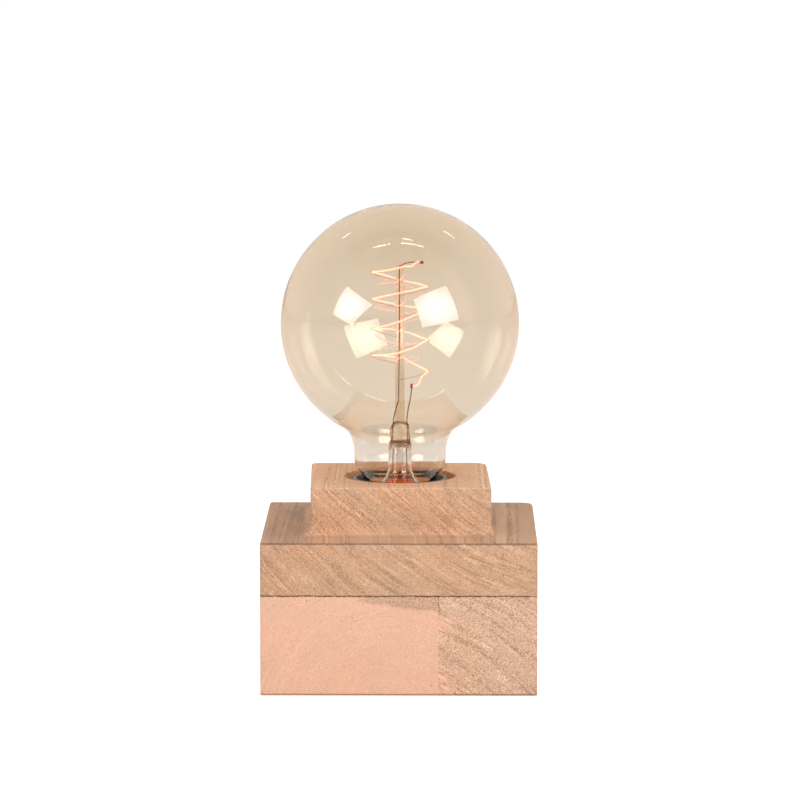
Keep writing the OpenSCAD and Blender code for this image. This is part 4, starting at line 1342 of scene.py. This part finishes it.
class LAMP_OT_wires(bpy.types.Operator):
    """Bends the hooks and the two lead wires"""
    bl_idname = "lamp.wires"
    bl_label = "Hooks and Leads"

    def execute(self, context):
        routes = [hook_route(s) for s in range(1, HALF_TURNS + 1)]
        hooks = add_wire("hook_wires", routes, 0.12 * MM, sides=8)
        smooth(hooks, 180)
        hook_metal = wire_metal("hook_wire", tone(206, 166, 146))
        stand_for(hooks, "bulb", hook_metal, "support_wire", "support_hooks")

        copper_zone = ((PRESS_TOP - 10.5 * MM) / MM, (PRESS_TOP + 0.4 * MM) / MM)
        lead_metal = wire_metal("lead_wire", tone(126, 90, 72), tone(150, 80, 54), copper_zone)
        side = 2.7
        cap = CAP_RIM / MM
        press = PRESS_TOP / MM
        rod = ROD_TOP / MM
        front = -(ROD_R / MM + 0.55)
        long_route = [
            (0, 0, cap - 25.5), (0, 0, cap - 20), (-1.4, 0, cap - 17), (-side, 0, cap - 11),
            (-side, 0, press - 9.2), (-side, 0, press - 2), (-2.65, -0.1, press - 0.2),
            (-2.4, -0.55, press + 1.6), (-2, -1.2, press + 3.4), (-1.5, -1.8, press + 5.4),
            (-1, -2.2, press + 7.6), (-0.5, front, press + 11), (-0.2, front, press + 40),
            (-0.2, front, rod - 2.5), (0.4, -2.1, rod - 0.8), (1.5, -1.5, rod - 0.1),
            (2.6, -0.8, rod + 0.2), (4.2, -0.2, rod + 0.4), (6.3, 0.1, rod + 0.5)]
        short_route = [
            (11.3, 0, cap - 11), (9.4, 0, cap - 8.6), (6, 0, cap - 5.4), (3.6, 0, cap - 1.8),
            (side, 0, cap + 3), (side, 0, press - 4), (side, 0, press - 1), (2.8, -0.05, press + 1),
            (3.1, -0.2, press + 3.4), (3.5, -0.45, press + 6), (4.05, -0.75, press + 8.6),
            (4.4, -0.95, press + 10.8)]
        sideways, upwards = Vector((1, 0, -0.1)), Vector((0.05, -0.1, 1))
        self.lead("long_lead", long_route, TOP_CLAMP, sideways, lead_metal, "lead_wire_long")
        self.lead("short_lead", short_route, LOW_CLAMP, upwards, lead_metal, "lead_wire_short")
        return {"FINISHED"}

    @staticmethod
    def lead(name, places, clamp, way, material, node):
        """A lead wire that ends in a pinched clamp round the filament's end."""
        step = way.normalized() * 0.8 * MM
        radius = 0.22 * MM
        fat = 0.56 * MM / radius
        route = smooth_route([*(Vector(p) * MM for p in places), clamp - 1.4 * step], 4)
        pinch = [(clamp - 1.1 * step, 0.75 * fat), (clamp - 0.8 * step, fat), (clamp, fat),
                 (clamp + 0.8 * step, fat), (clamp + 1.1 * step, 0.6 * fat)]
        piece = add_wire(name, [[*route, *pinch]], radius, sides=12)
        smooth(piece, 60)
        stand_for(piece, "bulb", material, "lead_wire", node)


# ---------------------------------------------------------------- stage


def direction(azimuth, elevation):
    """Unit vector towards a place round the lamp. Azimuth 0 is the front and 90 the right."""
    a, e = math.radians(azimuth), math.radians(elevation)
    return Vector((math.sin(a) * math.cos(e), -math.cos(a) * math.cos(e), math.sin(e)))


def light_panel(name, corners, distance, radiance, edge, front, back):
    """A glowing panel that shows only as a mirror image. Its corners, in order round it, are given as
    directions from the globe's middle. Towards its edges its light falls to a share. Its images in the
    globe's front and back wall are made brighter by two gains, and left out where the gain is 0."""
    clear_selection()
    bpy.ops.mesh.primitive_plane_add(size=1)
    panel = bpy.context.object
    panel.name = panel.data.name = name
    for vertex, corner in zip(panel.data.vertices, (corners[0], corners[1], corners[3], corners[2])):
        vertex.co = GLOBE_MIDDLE + direction(*corner) * distance
    graph = Graph(name)
    x, y = graph.parts(graph.node("ShaderNodeTexCoord", output="UV"))[:2]
    far = ((x - 0.5) ** 2 + (y - 0.5) ** 2) ** 0.5
    through, bounces, walls = graph.rays("Is Transmission Ray", "Glossy Depth", "Transmission Depth")
    mirrored = bounces.math("MINIMUM", 1.0)
    at_back = walls.rise(2.4, 2.6)
    gain = mirrored * (at_back * (back - front) + (front - 1)) + 1
    peak = max(1, front, back)
    share = (far.rise(0.15, 0.62) * (edge - 1) + 1) * gain * (1 / peak)
    daylight = (0.96, 0.985, 1)
    full = graph.node("ShaderNodeEmission", {}, {"Color": daylight, "Strength": radiance * peak})
    light = graph.node("ShaderNodeMixShader", {}, {0: share, 2: full})
    clear = graph.node("ShaderNodeBsdfTransparent")
    hidden = through * (1 - mirrored)
    if not front:
        hidden = hidden + mirrored * (1 - at_back)
    if not back:
        hidden = hidden + mirrored * at_back
    graph.show(hidden, light, clear)
    panel.data.materials.append(graph.material)
    panel.visible_camera = False


def seen(graph):
    """1 for rays that show a surface as such, from the camera, mirrored or through glass, and 1 for those
    of them that were mirrored."""
    camera, glossy, through, bounces = graph.rays(
        "Is Camera Ray", "Is Glossy Ray", "Is Transmission Ray", "Glossy Depth")
    direct = camera.math("MAXIMUM", glossy).math("MAXIMUM", through)
    return direct, bounces.math("MINIMUM", 1.0)


# Corners of the lights in front, as azimuth and elevation
SOFT_BOXES = {
    "key_left": ((-62, 34), (-27.5, 22), (-46, 2), (-68, 9.5)),
    "key_right": ((14.5, 28), (55, 36), (59, 6), (22, 1.5)),
}
# Slopes to a tube's left end, right end and place behind the lamp, and its gains in front and behind
CEILING_TUBES = {
    "tube_left": (-0.35, -0.12, -0.03, 0.9, 0), "tube_right": (0.01, 0.31, -0.03, 0.9, 0),
    "tube_short": (0.02, 0.16, 0.07, 0.9, 0), "tube_far_left": (-0.72, -0.6, 0.72, 0.9, 0),
    "tube_far_right": (0.5, 0.68, 0.66, 0.9, 0), "tube_wide_right": (0.17, 0.52, 0.05, 0, 2.2),
    "tube_wide_left": (-0.7, -0.34, 0.07, 0, 2.2), "tube_end_right": (0.8, 1.4, 0.06, 0, 2.2),
}


def tube_corners(left, right, behind):
    """Directions to the corners of a thin tube overhead, whose ends and place are given as slopes."""
    far, near = behind + 0.006, behind - 0.006
    corners = []
    for x, y in ((left, far), (right, far), (right, near), (left, near)):
        azimuth = math.degrees(math.atan2(x, -y))
        elevation = math.degrees(math.atan2(1, math.hypot(x, y)))
        corners.append((azimuth, elevation))
    return corners


class LAMP_OT_stage(bpy.types.Operator):
    """Sets up the camera, the lights, the pale floor and the white surroundings"""
    bl_idname = "lamp.stage"
    bl_label = "Stage"

    def execute(self, context):
        stage = context.scene.lamp_stage
        self.camera(context)
        self.floor(stage)
        self.world(context, stage)
        for name, corners in SOFT_BOXES.items():
            light_panel(name, corners, 2.6, stage.key_strength, edge=0.5, front=2.0, back=3.8)
        for name, sign in (("side_left", -1), ("side_right", 1)):
            corners = [(sign * a, e) for a, e in ((100, 26), (118, 26), (118, -2), (100, -2))]
            light_panel(name, corners, 2.8, stage.side_strength, edge=0.2, front=0, back=1.8)
        for name, (left, right, behind, front, back) in CEILING_TUBES.items():
            corners = tube_corners(left, right, behind)
            light_panel(name, corners, 2.4, stage.tube_strength, edge=1.0, front=front, back=back)
        self.top_light(stage)
        context.scene.view_settings.view_transform = "Standard"
        return {"FINISHED"}

    @staticmethod
    def top_light(stage):
        """Wide soft light overhead, which leaves no image in the glass."""
        clear_selection()
        place, way_back = (0.25, -0.5, 2.3), Vector((0.25, -0.5, 2.2))
        bpy.ops.object.light_add(type="AREA", location=place)
        lamp = bpy.context.object
        lamp.name = lamp.data.name = "top_light"
        lamp.rotation_euler = way_back.to_track_quat("Z", "Y").to_euler()
        lamp.data.size = 1.7
        lamp.data.energy = stage.top_strength
        lamp.visible_camera = lamp.visible_glossy = lamp.visible_transmission = False

    @staticmethod
    def camera(context):
        """The photograph's camera."""
        place = (0.0164, -1.8047, 0.3383)
        turn = (math.radians(82.78), 0, math.radians(0.52))
        clear_selection()
        bpy.ops.object.camera_add(location=place, rotation=turn)
        camera = context.object
        camera.name = "photo_camera"
        camera.data.sensor_width = 36
        camera.data.lens = 205.3
        camera.data.clip_end = 200
        context.scene.camera = camera

    @staticmethod
    def floor(stage):
        """Wide pale floor that glows as it is seen, darker in mirror images and browner behind the lamp."""
        clear_selection()
        bpy.ops.mesh.primitive_circle_add(vertices=96, radius=40, fill_type="NGON", location=(0, 0, 0))
        floor = bpy.context.object
        floor.name = floor.data.name = "floor"
        graph = Graph("floor")
        graph.set(Base_Color=(0.8, 0.8, 0.8), Roughness=0.9)
        direct, mirrored = seen(graph)
        faint = graph.node("ShaderNodeBsdfDiffuse", {}, {"Color": (0.36, 0.36, 0.36)})
        glows = []
        for colour in ((1, 1, 1), (0.55, 0.55, 0.55), (0.82, 0.64, 0.5)):
            inputs = {"Color": colour, "Strength": stage.floor_glow}
            glows.append(graph.node("ShaderNodeEmission", {}, inputs))
        y = graph.parts(graph.place(1))[1]
        image = graph.node("ShaderNodeMixShader", {}, {0: y.rise(0, 0.4), 1: glows[1], 2: glows[2]})
        glow = graph.node("ShaderNodeMixShader", {}, {0: mirrored, 1: glows[0], 2: image})
        shown = graph.node("ShaderNodeAddShader", {}, {0: faint, 1: glow})
        graph.show(direct, Value(graph, graph.shader.outputs[0]), shown)
        floor.data.materials.append(graph.material)

    @staticmethod
    def world(context, stage):
        """White surroundings, dimmer as light on matt surfaces and as mirrored from the front."""
        world = bpy.data.worlds.new("surroundings")
        context.scene.world = world
        graph = Graph("surroundings", world)
        y = graph.parts(graph.node("ShaderNodeTexCoord", output="Generated"))[1]
        direct, mirrored = seen(graph)
        behind = y.rise(0, 0.7)
        image = behind * (1 - stage.mirrored_room) + stage.mirrored_room
        level = (image - 1) * mirrored + 1
        graph.set(Color=graph.mix(mirrored * behind, (1, 1, 1), (0.97, 0.86, 0.76)))
        graph.set(Strength=(level - stage.ambient) * direct + stage.ambient)


# ---------------------------------------------------------------- add-on


class LAMP_PT_panel(bpy.types.Panel):
    """Lists the lamp's settings and operators in the sidebar"""
    bl_idname = "LAMP_PT_panel"
    bl_label = "Bare Bulb Table Lamp"
    bl_space_type = "VIEW_3D"
    bl_region_type = "UI"
    bl_category = "Lamp"

    def draw(self, context):
        for settings in (context.scene.lamp_wood, context.scene.lamp_bulb, context.scene.lamp_stage):
            box = self.layout.box()
            for key in type(settings).__annotations__:
                box.prop(settings, key)
        for operator in OPERATORS:
            self.layout.operator(operator.bl_idname)


SETTINGS = {"lamp_wood": LampWood, "lamp_bulb": LampBulb, "lamp_stage": LampStage}
OPERATORS = (
    LAMP_OT_upper_block, LAMP_OT_lower_blocks, LAMP_OT_fittings, LAMP_OT_lampholder, LAMP_OT_cap,
    LAMP_OT_envelope, LAMP_OT_stem, LAMP_OT_support_rod, LAMP_OT_filament, LAMP_OT_wires, LAMP_OT_stage,
)


def register():
    for group in (*SETTINGS.values(), *OPERATORS, LAMP_PT_panel):
        bpy.utils.register_class(group)
    for name, group in SETTINGS.items():
        setattr(bpy.types.Scene, name, PointerProperty(type=group))


def unregister():
    for name in SETTINGS:
        delattr(bpy.types.Scene, name)
    for group in reversed((*SETTINGS.values(), *OPERATORS, LAMP_PT_panel)):
        bpy.utils.unregister_class(group)


def main():
    register()
    for operator in OPERATORS:
        group, name = operator.bl_idname.split(".")
        getattr(getattr(bpy.ops, group), name)()
    clear_selection()


if __name__ == "__main__":
    main()
